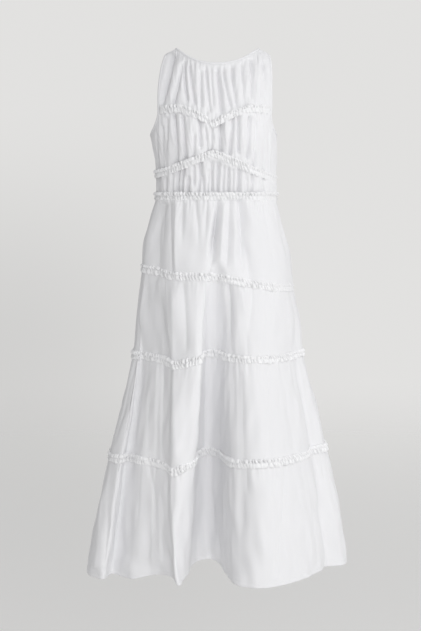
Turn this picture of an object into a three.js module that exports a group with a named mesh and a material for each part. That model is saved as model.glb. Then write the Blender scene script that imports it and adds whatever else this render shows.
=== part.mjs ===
// A sleeveless tiered midi dress in gathered cotton poplin, hollow and open as it is when worn.
// Millimetres. +Z is up, the front faces -Y and +X is the wearer's left. The origin lies midway between
// the two shoulder seams, at their height, where the wearer's shoulders carry the dress.
// Directions round the body are turns in degrees: 0 at the front centre, 90 at the wearer's left side
// seam, 180 at the back centre and -90 (or 270) at the right side seam.
import * as THREE from "three";
import { mergeVertices } from "three/addons/utils/BufferGeometryUtils.js";

const { clamp, degToRad, radToDeg, lerp, smoothstep } = THREE.MathUtils;

// Driving dimensions.
const CLOTH = 1.5; // wall of every panel, gathers and topstitched seams included
const TRIM_CLOTH = 1; // wall of a ruffle trim
const SEAM_GAP = 0.3; // between two pieces that are sewn together
const SQUARENESS = 2.2; // 2 gives elliptical girths, more gives squarer ones
const BINDING_WIDTH = 5;
const BINDING_THICKNESS = 2.6;

const NECK_HALF = 99; // from the centre to the panels' neck edge at the shoulder seam
const NECK_DROP_FRONT = 42; // below the shoulder seam's neck end
const NECK_DROP_BACK = 38;
const NECK_ROUNDNESS = 2.3;
const SHOULDER_HALF = 119; // to the shoulder seam's armhole end
const SHOULDER_START = 96.5; // half width at which the shoulder line is level with the origin
const SHOULDER_SLOPE = 0.5;
const LEVEL_ABOVE_Z = -58; // above it the cloth's edges are square to its slope
const SHOULDER_ROUND = 80; // height over which the shoulder rolls from the top to the chest

const CHEST_HALF = 129; // from the centre to the armhole where it starts to curve under the arm
const ARMHOLE_CURVE_Z = -147;
const UNDERARM_Z = -205;

const WAIST_Z = -345;
const BUST_OUT = 9; // fullness over each side of the bust
const BUST_X = 75;
const BUST_Z = -217;
const BUST_SPREAD = 46;

// Girths of the bodice from the waist up: half width, how far it lies to the wearer's left, depth in
// front and behind, and how far back the middle of the body lies.
const BODICE = [
  { z: WAIST_Z, half: 141.5, lean: 0, front: 106, back: 88, mid: 0 },
  { z: -284, half: 142, lean: 0, front: 111, back: 91, mid: 0 },
  { z: -244, half: 144, lean: -1.5, front: 117, back: 95, mid: 0 },
  { z: -200, half: 149.5, lean: -6, front: 121, back: 99, mid: 1 },
  { z: ARMHOLE_CURVE_Z, half: 156, lean: -3, front: 112, back: 100, mid: 2 },
  { z: -97, half: 157, lean: -2.5, front: 96, back: 92, mid: 4 },
  { z: -48, half: 154.5, lean: 0.5, front: 76, back: 78, mid: 6 },
  { z: -12, half: 147, lean: 3, front: 61, back: 64, mid: 8 },
  { z: 35, half: 137.5, lean: 3, front: 50, back: 52, mid: 8 },
];

// Seam across the bust: it dips to a point at the centre. Seam under the bust: it peaks at the centre.
const CENTRE_X = -4; // both points lie a little to the wearer's right
const SWEETHEART_POINT_Z = -182;
const SWEETHEART_PEAK_Z = -145;
const SWEETHEART_PEAK_X = 83;
const UNDERBUST_PEAK_Z = -248;
const UNDERBUST_SIDE_Z = -299.5;
const UNDERBUST_SLANT = 6; // how much lower it ends on the wearer's left

// The skirt's seams, counted down from the waist in levels 0 to 4; slant is how much lower the seam
// sits at the wearer's left than at the centre, and lift how much its front is drawn up.
const SEAMS = [
  { z: WAIST_Z, slant: 0, lift: 0 },
  { z: -537, slant: 25, lift: 8 },
  { z: -718, slant: 0, lift: 9 },
  { z: -950, slant: -6, lift: 5 },
  { z: -1213, slant: 0, lift: 0 },
];
const LIFT_TURN = -2; // where the lift is greatest
const LIFT_SPREAD = 24;
const HEM_LEVEL = SEAMS.length - 1;

// Girths of the skirt before its folds: each tier puffs out below its gathered seam.
const SKIRT = [
  { level: 0, right: 141.5, left: 141.5, front: 106, back: 88 },
  { level: 0.3, right: 153.5, left: 153.5, front: 122, back: 108 },
  { level: 0.6, right: 167, left: 169, front: 136, back: 128 },
  { level: 1, right: 174.5, left: 183.5, front: 152, back: 148 },
  { level: 1.5, right: 187, left: 199, front: 172, back: 166 },
  { level: 2, right: 196.5, left: 208.5, front: 188, back: 180 },
  { level: 2.5, right: 221.5, left: 236.5, front: 210, back: 198 },
  { level: 3, right: 251.5, left: 265, front: 232, back: 214 },
  { level: 3.5, right: 279, left: 294.5, front: 248, back: 228 },
  { level: 4, right: 303, left: 315, front: 262, back: 240 },
];

// The skirt's folds, in order round the body from the right side seam. Each row is a crest or a hollow:
// its turn at the waist, where it ends at the hem (x, y), the level it starts from, how early it opens
// (ease, where 1 is even), how far it hangs below the third seam (dip) and below the hem (drop), and the
// panel columns up to the next row.
const FOLDS = [
  { name: "right side seam", turn: -90, x: -304, y: -36, from: 1, ease: 1, dip: 0, drop: 6, columns: 3 },
  { name: "side crest", turn: -80, x: -299, y: -112, from: 1, ease: 1, dip: -2, drop: 14, columns: 3 },
  { name: "side edge", turn: -72, x: -262, y: -156, from: 1.5, ease: 1.2, dip: -4, drop: 14, columns: 2 },
  { name: "side hollow", turn: -67, x: -242, y: -112, from: 1.5, ease: 1.2, dip: -3, drop: 14, columns: 3 },
  { name: "right panel crest", turn: -60, x: -196, y: -160, from: 1, ease: 1, dip: -3, drop: 12, columns: 3 },
  { name: "right panel hollow", turn: -50, x: -146, y: -160, from: 1, ease: 1, dip: 0, drop: 3, columns: 3 },
  { name: "ridge flank", turn: -42, x: -104, y: -192, from: 1, ease: 0.8, dip: 6, drop: -3, columns: 3 },
  { name: "ridge", turn: -34.5, x: -84, y: -238, from: 1, ease: 0.7, dip: 12, drop: 3, columns: 4 },
  { name: "right lobe edge", turn: -9.5, x: -68, y: -172, from: 2, ease: 0.9, dip: 2, drop: 0, columns: 3 },
  { name: "valley wall", turn: -6.5, x: -58, y: -108, from: 1, ease: 1.2, dip: -2, drop: -3, columns: 2 },
  { name: "valley foot", turn: -3, x: -38, y: -72, from: 0.9, ease: 1.4, dip: -4, drop: -6, columns: 2 },
  { name: "valley floor", turn: 1, x: -12, y: -60, from: 0.8, ease: 1.4, dip: -4, drop: -6, columns: 2 },
  { name: "valley side", turn: 5, x: 8, y: -94, from: 0.9, ease: 1.4, dip: -3, drop: -5, columns: 2 },
  { name: "left lobe wall", turn: 9, x: 22, y: -154, from: 0.9, ease: 1.2, dip: 0, drop: 0, columns: 3 },
  { name: "left lobe edge", turn: 15, x: 46, y: -232, from: 1, ease: 1, dip: -1, drop: 2, columns: 3 },
  { name: "left lobe crest", turn: 25, x: 98, y: -260, from: 1, ease: 1, dip: -5, drop: 3, columns: 3 },
  { name: "left lobe", turn: 38, x: 156, y: -238, from: 1, ease: 1, dip: -5, drop: 1, columns: 3 },
  { name: "left panel crease", turn: 50, x: 206, y: -190, from: 1, ease: 1, dip: -5, drop: -1, columns: 3 },
  { name: "left panel", turn: 62, x: 246, y: -138, from: 1, ease: 1, dip: -6, drop: -2, columns: 2 },
  { name: "left hollow", turn: 69, x: 256, y: -104, from: 1.4, ease: 1.1, dip: -7, drop: 0, columns: 3 },
  { name: "left side crest", turn: 79, x: 301, y: -86, from: 1.2, ease: 1, dip: -9, drop: 0, columns: 3 },
  { name: "left side seam", turn: 90, x: 313, y: -20, from: 1, ease: 1, dip: -4, drop: 0, columns: 3 },
  { name: "back crest 1", turn: 103, x: 297, y: 56, from: 1, ease: 1, dip: 0, drop: 2, columns: 3 },
  { name: "back hollow 1", turn: 116, x: 241, y: 92, from: 1, ease: 1.1, dip: 0, drop: 0, columns: 3 },
  { name: "back crest 2", turn: 129, x: 225, y: 168, from: 1, ease: 1, dip: 2, drop: 4, columns: 3 },
  { name: "back hollow 2", turn: 142, x: 155, y: 168, from: 0.8, ease: 1.1, dip: 0, drop: 0, columns: 3 },
  { name: "back crest 3", turn: 154, x: 127, y: 238, from: 1, ease: 1, dip: 2, drop: 4, columns: 3 },
  { name: "back hollow 3", turn: 167, x: 59, y: 194, from: 0.6, ease: 1.1, dip: 0, drop: 0, columns: 3 },
  { name: "back crest 4", turn: 180, x: 4, y: 250, from: 1, ease: 1, dip: 2, drop: 4, columns: 3 },
  { name: "back hollow 4", turn: 193, x: -53, y: 196, from: 0.8, ease: 1.1, dip: 0, drop: 0, columns: 3 },
  { name: "back crest 5", turn: 206, x: -121, y: 238, from: 1, ease: 1, dip: 2, drop: 4, columns: 3 },
  { name: "back hollow 5", turn: 219, x: -155, y: 168, from: 0.8, ease: 1.1, dip: 0, drop: 0, columns: 3 },
  { name: "back crest 6", turn: 232, x: -225, y: 168, from: 1, ease: 1, dip: 2, drop: 4, columns: 3 },
  { name: "back hollow 6", turn: 246, x: -243, y: 90, from: 1, ease: 1.1, dip: 0, drop: 0, columns: 3 },
  { name: "back crest 7", turn: 258, x: -295, y: 46, from: 1, ease: 1, dip: 0, drop: 4, columns: 3 },
];
const LEFT_SEAM = FOLDS.findIndex((row) => row.name === "left side seam");

// Gathers: how many, how deep, and how far their crests wander from even spacing.
const YOKE_GATHERS = { count: 14, depth: 4, wander: 0.3 };
const BUST_GATHERS = { count: 14, depth: 4.5, wander: 0.25 };
const MIDRIFF_GATHERS = { count: 16, depth: 4, wander: 0.3 };
const BACK_GATHERS = { count: 12, depth: 4, wander: 0.3 };
const SKIRT_GATHERS = { count: 20, depth: 7, wander: 0.35 };

// Ruffle trims: gathered down the middle, frilled along both edges.
const TRIM_ABOVE = 9;
const TRIM_BELOW = 11;
const TRIM_CLEAR = 1; // least distance of a frilled edge from the cloth beneath
const TRIM_WAVE = 3.8;
const SWEETHEART_WAVES = 16;
const UNDERBUST_WAVES = 16;
const SEAM_WAVES = [20, 20, 20, 22]; // waist, then the three seams of the skirt

const poplin = new THREE.MeshStandardMaterial({ color: 0xf2f2f4, roughness: 0.85, metalness: 0 });
const ruffleCloth = new THREE.MeshStandardMaterial({ color: 0xf6f6f8, roughness: 0.85, metalness: 0 });
const bindingCloth = new THREE.MeshStandardMaterial({ color: 0xf4f4f6, roughness: 0.8, metalness: 0 });

// ---- Curves through tables ----

// The value at f between b and c, on a smooth curve that also heeds their neighbours a and d.
function smoothBetween(a, b, c, d, f) {
  const bend = (2 * a - 5 * b + 4 * c - d) * f + (3 * b - 3 * c + d - a) * f * f;
  return b + 0.5 * f * (c - a + bend);
}

// One column of a table as a smooth function of its key column, held level past both ends.
function readTable(rows, key, column, at) {
  const last = rows.length - 1;
  const next = clamp(rows.findIndex((row) => row[key] > at), 1, last);
  const i = at >= rows[last][key] ? last - 1 : next - 1;
  const f = clamp((at - rows[i][key]) / (rows[i + 1][key] - rows[i][key]), 0, 1);
  const before = rows[Math.max(i - 1, 0)][column];
  const after = rows[Math.min(i + 2, last)][column];
  return smoothBetween(before, rows[i][column], rows[i + 1][column], after, f);
}

// Sine and cosine of a turn, bent to the squareness of the girths.
function roundAbout(turn) {
  const bent = (value) => Math.sign(value) * Math.abs(value) ** (2 / SQUARENESS);
  return { across: bent(Math.sin(degToRad(turn))), ahead: bent(Math.cos(degToRad(turn))) };
}

// ---- The bodice's form ----

const shoulderHeight = (x) => (SHOULDER_START - Math.abs(x)) * SHOULDER_SLOPE;

// How far the body's depth has opened at a distance below the rounded shoulder line.
function shoulderRoll(x, z) {
  const drop = clamp((shoulderHeight(x) - z) / SHOULDER_ROUND, 0, 1);
  return Math.sqrt(1 - (1 - drop) ** 2);
}

function bodicePoint(turn, z) {
  const girth = (column) => readTable(BODICE, "z", column, z);
  const { across, ahead } = roundAbout(turn);
  const x = girth("half") * across;
  const bust = BUST_OUT * Math.exp(-(((Math.abs(x) - BUST_X) ** 2 + (z - BUST_Z) ** 2) / BUST_SPREAD ** 2));
  const depth = ahead > 0 ? girth("front") + bust : girth("back");
  return new THREE.Vector3(x + girth("lean"), girth("mid") - depth * ahead * shoulderRoll(x, z), z);
}

// The turn at which the front of the bodice has a given x at a height.
function turnAt(x, z) {
  const share = clamp(Math.abs(x) / readTable(BODICE, "z", "half", z), 0, 1);
  return Math.sign(x) * radToDeg(Math.asin(share ** (SQUARENESS / 2)));
}

const ARMHOLE_TURN = turnAt(CHEST_HALF, ARMHOLE_CURVE_Z);

function neckHeight(x, drop) {
  const edge = shoulderHeight(NECK_HALF);
  return edge - drop * (1 - (Math.abs(x) / NECK_HALF) ** NECK_ROUNDNESS);
}

function sweetheartHeight(turn) {
  const x = Math.abs(bodicePoint(turn, SWEETHEART_PEAK_Z).x - CENTRE_X);
  const toPeak = clamp(x / SWEETHEART_PEAK_X, 0, 1);
  const rise = 1 - (1 - toPeak) ** 1.3;
  const fall = (ARMHOLE_CURVE_Z - SWEETHEART_PEAK_Z) * smoothstep(x, SWEETHEART_PEAK_X, CHEST_HALF);
  return lerp(SWEETHEART_POINT_Z, SWEETHEART_PEAK_Z, rise) + fall;
}

function underbustHeight(turn) {
  const shift = radToDeg(CENTRE_X / BODICE[0].half) * Math.cos(degToRad(turn));
  const aside = Math.abs(Math.sin(degToRad(turn - shift)));
  const slant = UNDERBUST_SLANT * Math.sin(degToRad(turn));
  return lerp(UNDERBUST_PEAK_Z, UNDERBUST_SIDE_Z, 1 - (1 - aside) ** 1.25) - slant;
}

// The lower curve of the armhole, from its straight edge (0) to the underarm (1).
function armholeCurve(share) {
  const swing = (share * Math.PI) / 2;
  return {
    turn: 90 - (90 - ARMHOLE_TURN) * Math.cos(swing),
    z: ARMHOLE_CURVE_Z + (UNDERARM_Z - ARMHOLE_CURVE_Z) * Math.sin(swing),
  };
}

// ---- Panels ----

const spread = (count, from = 0, to = 1) =>
  Array.from({ length: count + 1 }, (_, i) => lerp(from, to, i / count));

// Height of the gathers at a share of the way across: broad crests between narrow hollows, of uneven width.
function gathered({ count, depth, wander }, share) {
  const phase = count * share + wander * Math.sin(5.3 * Math.PI * share) * Math.sin(Math.PI * share);
  const uneven = 0.75 + 0.25 * Math.sin(11 * share + 2);
  return depth * uneven * Math.sqrt(Math.abs(Math.sin(Math.PI * phase)));
}

// A surface's point and outward normal at two of its own measures, one that runs round the body and
// one that rises. Below the chest the normal is kept level, so that the walls of two panels meet
// squarely at a seam.
function spotOn(surface, a, b) {
  const step = 1e-3;
  const point = surface(a, b);
  const across = surface(a + step, b).sub(surface(a - step, b));
  const down = surface(a, b - step).sub(surface(a, b + step));
  const normal = down.cross(across).normalize();
  normal.z *= smoothstep(point.z, ARMHOLE_CURVE_Z, LEVEL_ABOVE_Z);
  return { point, normal: normal.normalize() };
}

function raised({ point, normal }, height) {
  return { point: point.clone().addScaledVector(normal, height), normal };
}

// The closed wall between a grid of spots and the same points moved in by the thickness. Empty places
// in the grid are left open, and a ring's last column joins its first.
function wallGeometry(grid, thickness, ring) {
  const rows = grid.length;
  const columns = grid[0].length;
  const points = [0, -thickness].flatMap((depth) =>
    grid.flat().map((spot) => (spot ? raised(spot, depth).point : new THREE.Vector3())),
  );
  const at = (row, column, inside) => (inside ? rows * columns : 0) + row * columns + (column % columns);
  const isCell = (i, j) => {
    const column = ring ? (j + columns) % columns : j;
    if (i < 0 || i >= rows - 1 || column < 0 || (!ring && column >= columns - 1)) return false;
    const next = (column + 1) % columns;
    return Boolean(grid[i][column] && grid[i][next] && grid[i + 1][column] && grid[i + 1][next]);
  };
  const faces = [];
  const quad = (a, b, c, d) => faces.push(a, b, c, a, c, d);
  const edge = (row1, column1, row2, column2) =>
    quad(at(row1, column1), at(row2, column2), at(row2, column2, true), at(row1, column1, true));
  for (let i = 0; i < rows - 1; i++) {
    for (let j = 0; j < columns; j++) {
      if (!isCell(i, j)) continue;
      quad(at(i, j), at(i + 1, j), at(i + 1, j + 1), at(i, j + 1));
      quad(at(i, j, true), at(i, j + 1, true), at(i + 1, j + 1, true), at(i + 1, j, true));
      if (!isCell(i - 1, j)) edge(i, j, i, j + 1);
      if (!isCell(i + 1, j)) edge(i + 1, j + 1, i + 1, j);
      if (!isCell(i, j - 1)) edge(i + 1, j, i, j);
      if (!isCell(i, j + 1)) edge(i, j + 1, i + 1, j + 1);
    }
  }
  const geometry = mergeVertices(new THREE.BufferGeometry().setFromPoints(points).setIndex(faces));
  geometry.computeVertexNormals();
  return geometry;
}

function pieceOf(name, grid, { thickness = CLOTH, ring = false, material = poplin } = {}) {
  const mesh = new THREE.Mesh(wallGeometry(grid, thickness, ring), material);
  mesh.name = name;
  return mesh;
}

const half = SEAM_GAP / 2;
const between = (top, bottom, share) => ({
  turn: lerp(top.turn, bottom.turn, share),
  z: lerp(top.z, bottom.z, share),
});

// A bodice panel's grid from rows of { turn, z }, raised by its gathers. Front and back are parted at
// the shoulders and sides.
function bodiceGrid(rows, front, raise) {
  const part = new THREE.Vector3(0, front ? -half : half, 0);
  return rows.map((row, i) =>
    row.map((place, j) => {
      if (!place) return null;
      const spot = spotOn(bodicePoint, place.turn, place.z);
      spot.point.add(part);
      return raised(spot, raise(j / (row.length - 1), i / (rows.length - 1)));
    }),
  );
}

// Columns of the bodice's grids. Those of the armhole run beside the others on each side.
const SHOULDER_COLUMNS = 2;
const ARMHOLE_COLUMNS = 5;
const YOKE_COLUMNS = YOKE_GATHERS.count * 3;
const BACK_COLUMNS = BACK_GATHERS.count * 3;
const UPPER_BACK_ROWS = 4;

// The top edge of the front, or of the back seen from inside: shoulder, neck and shoulder.
function neckAndShoulders(columns, neckDrop) {
  const neckColumns = columns - 2 * SHOULDER_COLUMNS;
  return spread(columns, -columns / 2, columns / 2).map((column) => {
    const past = Math.abs(column) - neckColumns / 2;
    if (past < 0) {
      const x = NECK_HALF * Math.sin((Math.PI * column) / neckColumns);
      const z = neckHeight(x, neckDrop);
      return { turn: turnAt(x, z), z };
    }
    const x = Math.sign(column) * lerp(NECK_HALF, SHOULDER_HALF, past / SHOULDER_COLUMNS);
    return { turn: turnAt(x, shoulderHeight(x)), z: shoulderHeight(x) };
  });
}

// Places across the chest, evenly apart, at the height where the armholes start to curve.
const acrossChest = (columns) =>
  spread(columns, -CHEST_HALF, CHEST_HALF).map((x) => ({
    turn: turnAt(x, ARMHOLE_CURVE_Z),
    z: ARMHOLE_CURVE_Z,
  }));

// Adds both armholes' lower curves to a row of places.
function withArmholes(row) {
  const left = spread(ARMHOLE_COLUMNS).slice(1).map(armholeCurve);
  const right = left.map(({ turn, z }) => ({ turn: -turn, z })).reverse();
  return [...right, ...row, ...left];
}

// Rows of places between a top and a bottom row. Crowding above 1 sets them closer near the top.
const rowsBetween = (top, bottom, count, crowd = 1) =>
  spread(count).map((share) => top.map((place, j) => between(place, bottom[j], share ** crowd)));

// The share of its depth that a gather has at a share of the way down, and at a share of the way
// across a panel whose sides are smooth over a width.
const swell = (share) => Math.sqrt(Math.sin(Math.PI * clamp(share, 0, 1)));
const awayFromSides = (share, width) => 1 - smoothstep(Math.abs(share - 0.5), 0.5 - width, 0.5);

function frontGrids() {
  const chest = acrossChest(YOKE_COLUMNS);
  const onSweetheart = (offset) => chest.map(({ turn }) => ({ turn, z: sweetheartHeight(turn) + offset }));
  const bustTop = withArmholes(onSweetheart(-half));
  const onUnderbust = (offset) => bustTop.map(({ turn }) => ({ turn, z: underbustHeight(turn) + offset }));
  const waist = bustTop.map(({ turn }) => ({ turn, z: WAIST_Z + half }));
  const yokeTop = neckAndShoulders(YOKE_COLUMNS, NECK_DROP_FRONT);
  const yokeRows = rowsBetween(yokeTop, onSweetheart(half), 4, 1.6);
  const bustRows = rowsBetween(bustTop, onUnderbust(half), 3);
  const midriffRows = rowsBetween(onUnderbust(-half), waist, 3);
  const gathers = (kind, smoothWidth) => (u, v) =>
    gathered(kind, u) * swell(v) * awayFromSides(u, smoothWidth);
  return {
    yoke: bodiceGrid(yokeRows, true, gathers(YOKE_GATHERS, 0.03)),
    bust: bodiceGrid(bustRows, true, gathers(BUST_GATHERS, 0.12)),
    midriff: bodiceGrid(midriffRows, true, gathers(MIDRIFF_GATHERS, 0.05)),
  };
}

// The back is one panel: its upper rows reach from armhole to armhole and the lower ones from side to side.
function backGrid() {
  const behind = ({ turn, z }) => ({ turn: 180 + turn, z });
  const chest = withArmholes(acrossChest(BACK_COLUMNS));
  const waist = chest.map(({ turn }) => ({ turn, z: WAIST_Z + half }));
  const top = neckAndShoulders(BACK_COLUMNS, NECK_DROP_BACK);
  const upper = rowsBetween(top, acrossChest(BACK_COLUMNS), UPPER_BACK_ROWS, 1.6).slice(0, -1);
  const none = new Array(ARMHOLE_COLUMNS).fill(null);
  const rows = [...upper.map((row) => [...none, ...row, ...none]), ...rowsBetween(chest, waist, 3)];
  return bodiceGrid(
    rows.map((row) => row.map((place) => place && behind(place))),
    false,
    (u, v) => gathered(BACK_GATHERS, u) * swell(v) * awayFromSides(u, 0.2),
  );
}

// ---- The skirt's form ----

// A column of the fold table at a place in it, counted in rows; it runs on round the body.
function readFolds(place, column) {
  const count = FOLDS.length;
  const i = Math.floor(place);
  const value = (k) => {
    const row = FOLDS[((k % count) + count) % count];
    return column(row) + (column === turnOf ? 360 * Math.floor(k / count) : 0);
  };
  return smoothBetween(value(i - 1), value(i), value(i + 1), value(i + 2), place - i);
}
const turnOf = (row) => row.turn;

function skirtGirth(turn, level) {
  const { across, ahead } = roundAbout(turn);
  const girth = (column) => readTable(SKIRT, "level", column, level);
  return {
    x: across * girth(across > 0 ? "left" : "right"),
    y: -ahead * girth(ahead > 0 ? "front" : "back"),
  };
}

const opened = (row, level) => 1 - (1 - clamp((level - row.from) / (HEM_LEVEL - row.from), 0, 1)) ** row.ease;

function seamHeight(level, turn) {
  const k = clamp(Math.floor(level), 0, HEM_LEVEL - 1);
  const lifted = Math.exp(-(((turn - LIFT_TURN) / LIFT_SPREAD) ** 2));
  const z = (seam) => seam.z - seam.slant * Math.sin(degToRad(turn)) + seam.lift * lifted;
  return lerp(z(SEAMS[k]), z(SEAMS[k + 1]), level - k);
}

function skirtPoint(place, level) {
  const turn = readFolds(place, turnOf);
  const girth = skirtGirth(turn, level);
  const outX = (row) => (row.x - skirtGirth(row.turn, HEM_LEVEL).x) * opened(row, level);
  const outY = (row) => (row.y - skirtGirth(row.turn, HEM_LEVEL).y) * opened(row, level);
  const dip = readFolds(place, (row) => row.dip) * smoothstep(level, 0, HEM_LEVEL - 1);
  const drop = readFolds(place, (row) => row.drop);
  const hang = lerp(dip, drop, smoothstep(level, HEM_LEVEL - 1, HEM_LEVEL));
  return new THREE.Vector3(
    girth.x + readFolds(place, outX),
    girth.y + readFolds(place, outY),
    seamHeight(level, turn) - hang,
  );
}

const skirtSpot = (place, level) => spotOn((around, above) => skirtPoint(around, -above), place, -level);

// Places of the skirt's columns, as many between two folds as the table says.
const skirtPlaces = FOLDS.flatMap((row, i) => spread(row.columns, i, i + 1).slice(0, -1));
const leftSeamColumn = skirtPlaces.indexOf(LEFT_SEAM);
const TIER_ROWS = [3, 3, 3, 3];

// A tier's grid over some places round the body, from the seam above it to the seam or hem below.
function tierGrid(tier, places) {
  const rows = spread(TIER_ROWS[tier]);
  return rows.map((share) =>
    places.map((place) => {
      const spot = skirtSpot(place, tier + share);
      if (share === 0) spot.point.z -= half;
      if (share === 1 && tier < HEM_LEVEL - 1) spot.point.z += half;
      const around = (readFolds(place, turnOf) + 90) / 360;
      const gathers = tier === 0 ? gathered(SKIRT_GATHERS, around) * swell(share) * (1 - share / 2) : 0;
      return raised(spot, gathers);
    }),
  );
}

// The front or back of a tier, cut from its ring at the side seams and parted there.
function tierHalf(tier, front) {
  const places = front
    ? skirtPlaces.slice(0, leftSeamColumn + 1)
    : [...skirtPlaces.slice(leftSeamColumn), FOLDS.length];
  const nudged = (place, next) => {
    const apart = skirtPoint(place, tier + 0.5).distanceTo(skirtPoint(next, tier + 0.5));
    return lerp(place, next, half / apart);
  };
  const end = places.length - 1;
  const first = nudged(places[0], places[1]);
  const last = nudged(places[end], places[end - 1]);
  return tierGrid(tier, [first, ...places.slice(1, -1), last]);
}

// ---- Ruffle trims ----

// A point and normal between two neighbours in a grid, a share of the way along.
function blend(a, b, share) {
  return {
    point: a.point.clone().lerp(b.point, share),
    normal: a.normal.clone().lerp(b.normal, share).normalize(),
  };
}

// A point on the straight line between two rows of a column, a distance from the seam row.
const awayFrom = (seam, next, distance) => blend(seam, next, distance / seam.point.distanceTo(next.point));

// The rows a trim lies on: above, along and below the seam that joins two grids.
function trimRows(above, below) {
  const last = above.length - 1;
  return [
    above[last].map((spot, j) => awayFrom(spot, above[last - 1][j], TRIM_ABOVE)),
    above[last].map((spot, j) => blend(spot, below[0][j], 0.5)),
    below[0].map((spot, j) => awayFrom(spot, below[1][j], TRIM_BELOW)),
  ];
}

// A frilled strip over the given rows. It is held close along its middle and waves along both edges.
function ruffle(rows, waves, ring) {
  const seam = rows[1];
  const count = ring ? seam.length : seam.length - 1;
  const next = (j) => (j + 1) % seam.length;
  const lengths = Array.from({ length: count }, (_, j) => seam[j].point.distanceTo(seam[next(j)].point));
  const total = lengths.reduce((sum, length) => sum + length, 0);
  const longest = total / waves / 4;
  const strip = rows.map(() => []);
  let walked = 0;
  const place = (j, share) => {
    const phase = (2 * Math.PI * waves * (walked + share * lengths[j])) / total;
    rows.forEach((row, i) => {
      const wave = TRIM_WAVE * (0.5 - 0.5 * Math.cos(phase + 0.9 * i));
      const lift = TRIM_CLOTH + (i === 1 ? SEAM_GAP : TRIM_CLEAR + wave);
      strip[i].push(raised(blend(row[j], row[next(j)], share), lift));
    });
  };
  for (let j = 0; j < count; j++) {
    const parts = Math.max(1, Math.round(lengths[j] / longest));
    spread(parts).slice(0, -1).forEach((share) => place(j, share));
    walked += lengths[j];
  }
  if (!ring) {
    walked = total - lengths[count - 1];
    place(count - 1, 1);
  }
  return strip;
}

// ---- Bindings ----

// A narrow band along a closed edge of the cloth, on the far side of the edge from the cloth. The edge
// runs anticlockwise round its opening, as seen from outside.
function binding(edge) {
  const count = edge.length;
  const bands = edge.map((spot, i) => {
    const along = edge[(i + 1) % count].point.clone().sub(edge[(i + count - 1) % count].point);
    const out = spot.normal.clone().cross(along).normalize();
    const outside = raised(spot, (BINDING_THICKNESS - CLOTH) / 2);
    return [SEAM_GAP + BINDING_WIDTH, SEAM_GAP].map((distance) => ({
      point: outside.point.clone().addScaledVector(out, distance),
      normal: spot.normal,
    }));
  });
  return [bands.map((band) => band[0]), bands.map((band) => band[1])];
}

function neckEdge(yoke, back) {
  const first = ARMHOLE_COLUMNS + SHOULDER_COLUMNS;
  const front = yoke[0].slice(SHOULDER_COLUMNS, YOKE_COLUMNS - SHOULDER_COLUMNS + 1);
  const behind = back[0].slice(first + 1, first + BACK_COLUMNS - 2 * SHOULDER_COLUMNS);
  return [...front, ...behind];
}

// An armhole's edge as spots from the front's shoulder, under the arm and up to the back's.
function armholeEdge({ yoke, bust, back, left }) {
  const edgeOf = (rows, column) => rows.map((row) => row[column]);
  const upperBack = back.slice(1, UPPER_BACK_ROWS);
  const front = edgeOf(yoke, left ? YOKE_COLUMNS : 0);
  const under = left ? bust[0].slice(-ARMHOLE_COLUMNS) : bust[0].slice(0, ARMHOLE_COLUMNS).reverse();
  const curve = back[UPPER_BACK_ROWS];
  const behind = left ? curve.slice(1, ARMHOLE_COLUMNS + 1) : curve.slice(-ARMHOLE_COLUMNS - 1, -1).reverse();
  const rising = edgeOf(upperBack, left ? ARMHOLE_COLUMNS : ARMHOLE_COLUMNS + BACK_COLUMNS).reverse();
  const edge = [...front, ...under, ...behind, ...rising];
  return left ? edge : edge.reverse();
}

// ---- The dress ----

const dress = new THREE.Group();
dress.name = "tiered_dress";

const { yoke, bust, midriff } = frontGrids();
const back = backGrid();
dress.add(pieceOf("front_yoke", yoke));
dress.add(pieceOf("front_bust", bust));
dress.add(pieceOf("front_midriff", midriff));
dress.add(pieceOf("back_bodice", back));

const tiers = TIER_ROWS.map((_, tier) => tierGrid(tier, skirtPlaces));
tiers.forEach((_, tier) => {
  dress.add(pieceOf(`tier_${tier + 1}_front`, tierHalf(tier, true)));
  dress.add(pieceOf(`tier_${tier + 1}_back`, tierHalf(tier, false)));
});

const trimOptions = (ring) => ({ thickness: TRIM_CLOTH, material: ruffleCloth, ring });
const bustMiddle = bust.map((row) => row.slice(ARMHOLE_COLUMNS, -ARMHOLE_COLUMNS));
const bustTrims = {
  ruffle_sweetheart: { rows: trimRows(yoke, bustMiddle), waves: SWEETHEART_WAVES },
  ruffle_underbust: { rows: trimRows(bust, midriff), waves: UNDERBUST_WAVES },
};
for (const [name, { rows, waves }] of Object.entries(bustTrims)) {
  const shortened = rows.map((row) => row.slice(1, -1));
  dress.add(pieceOf(name, ruffle(shortened, waves, false), trimOptions(false)));
}

// Just above the waist, the bodice at the skirt's places, clear of its gathers.
const waistTop = skirtPlaces.map((place) => {
  const spot = spotOn(bodicePoint, readFolds(place, turnOf), WAIST_Z + TRIM_ABOVE);
  return raised(spot, MIDRIFF_GATHERS.depth / 2);
});
SEAM_WAVES.forEach((waves, level) => {
  const above = level === 0 ? [waistTop, tiers[0][0]] : tiers[level - 1];
  const name = level === 0 ? "ruffle_waist" : `ruffle_tier_${level + 1}`;
  const strip = ruffle(trimRows(above, tiers[level]), waves, true);
  dress.add(pieceOf(name, strip, trimOptions(true)));
});

const bindings = {
  neck_binding: neckEdge(yoke, back),
  left_armhole_binding: armholeEdge({ yoke, bust, back, left: true }),
  right_armhole_binding: armholeEdge({ yoke, bust, back, left: false }),
};
const bindingOptions = { thickness: BINDING_THICKNESS, material: bindingCloth, ring: true };
for (const [name, edge] of Object.entries(bindings)) {
  dress.add(pieceOf(name, binding(edge), bindingOptions));
}

export default dress;
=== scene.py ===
import math

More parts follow.
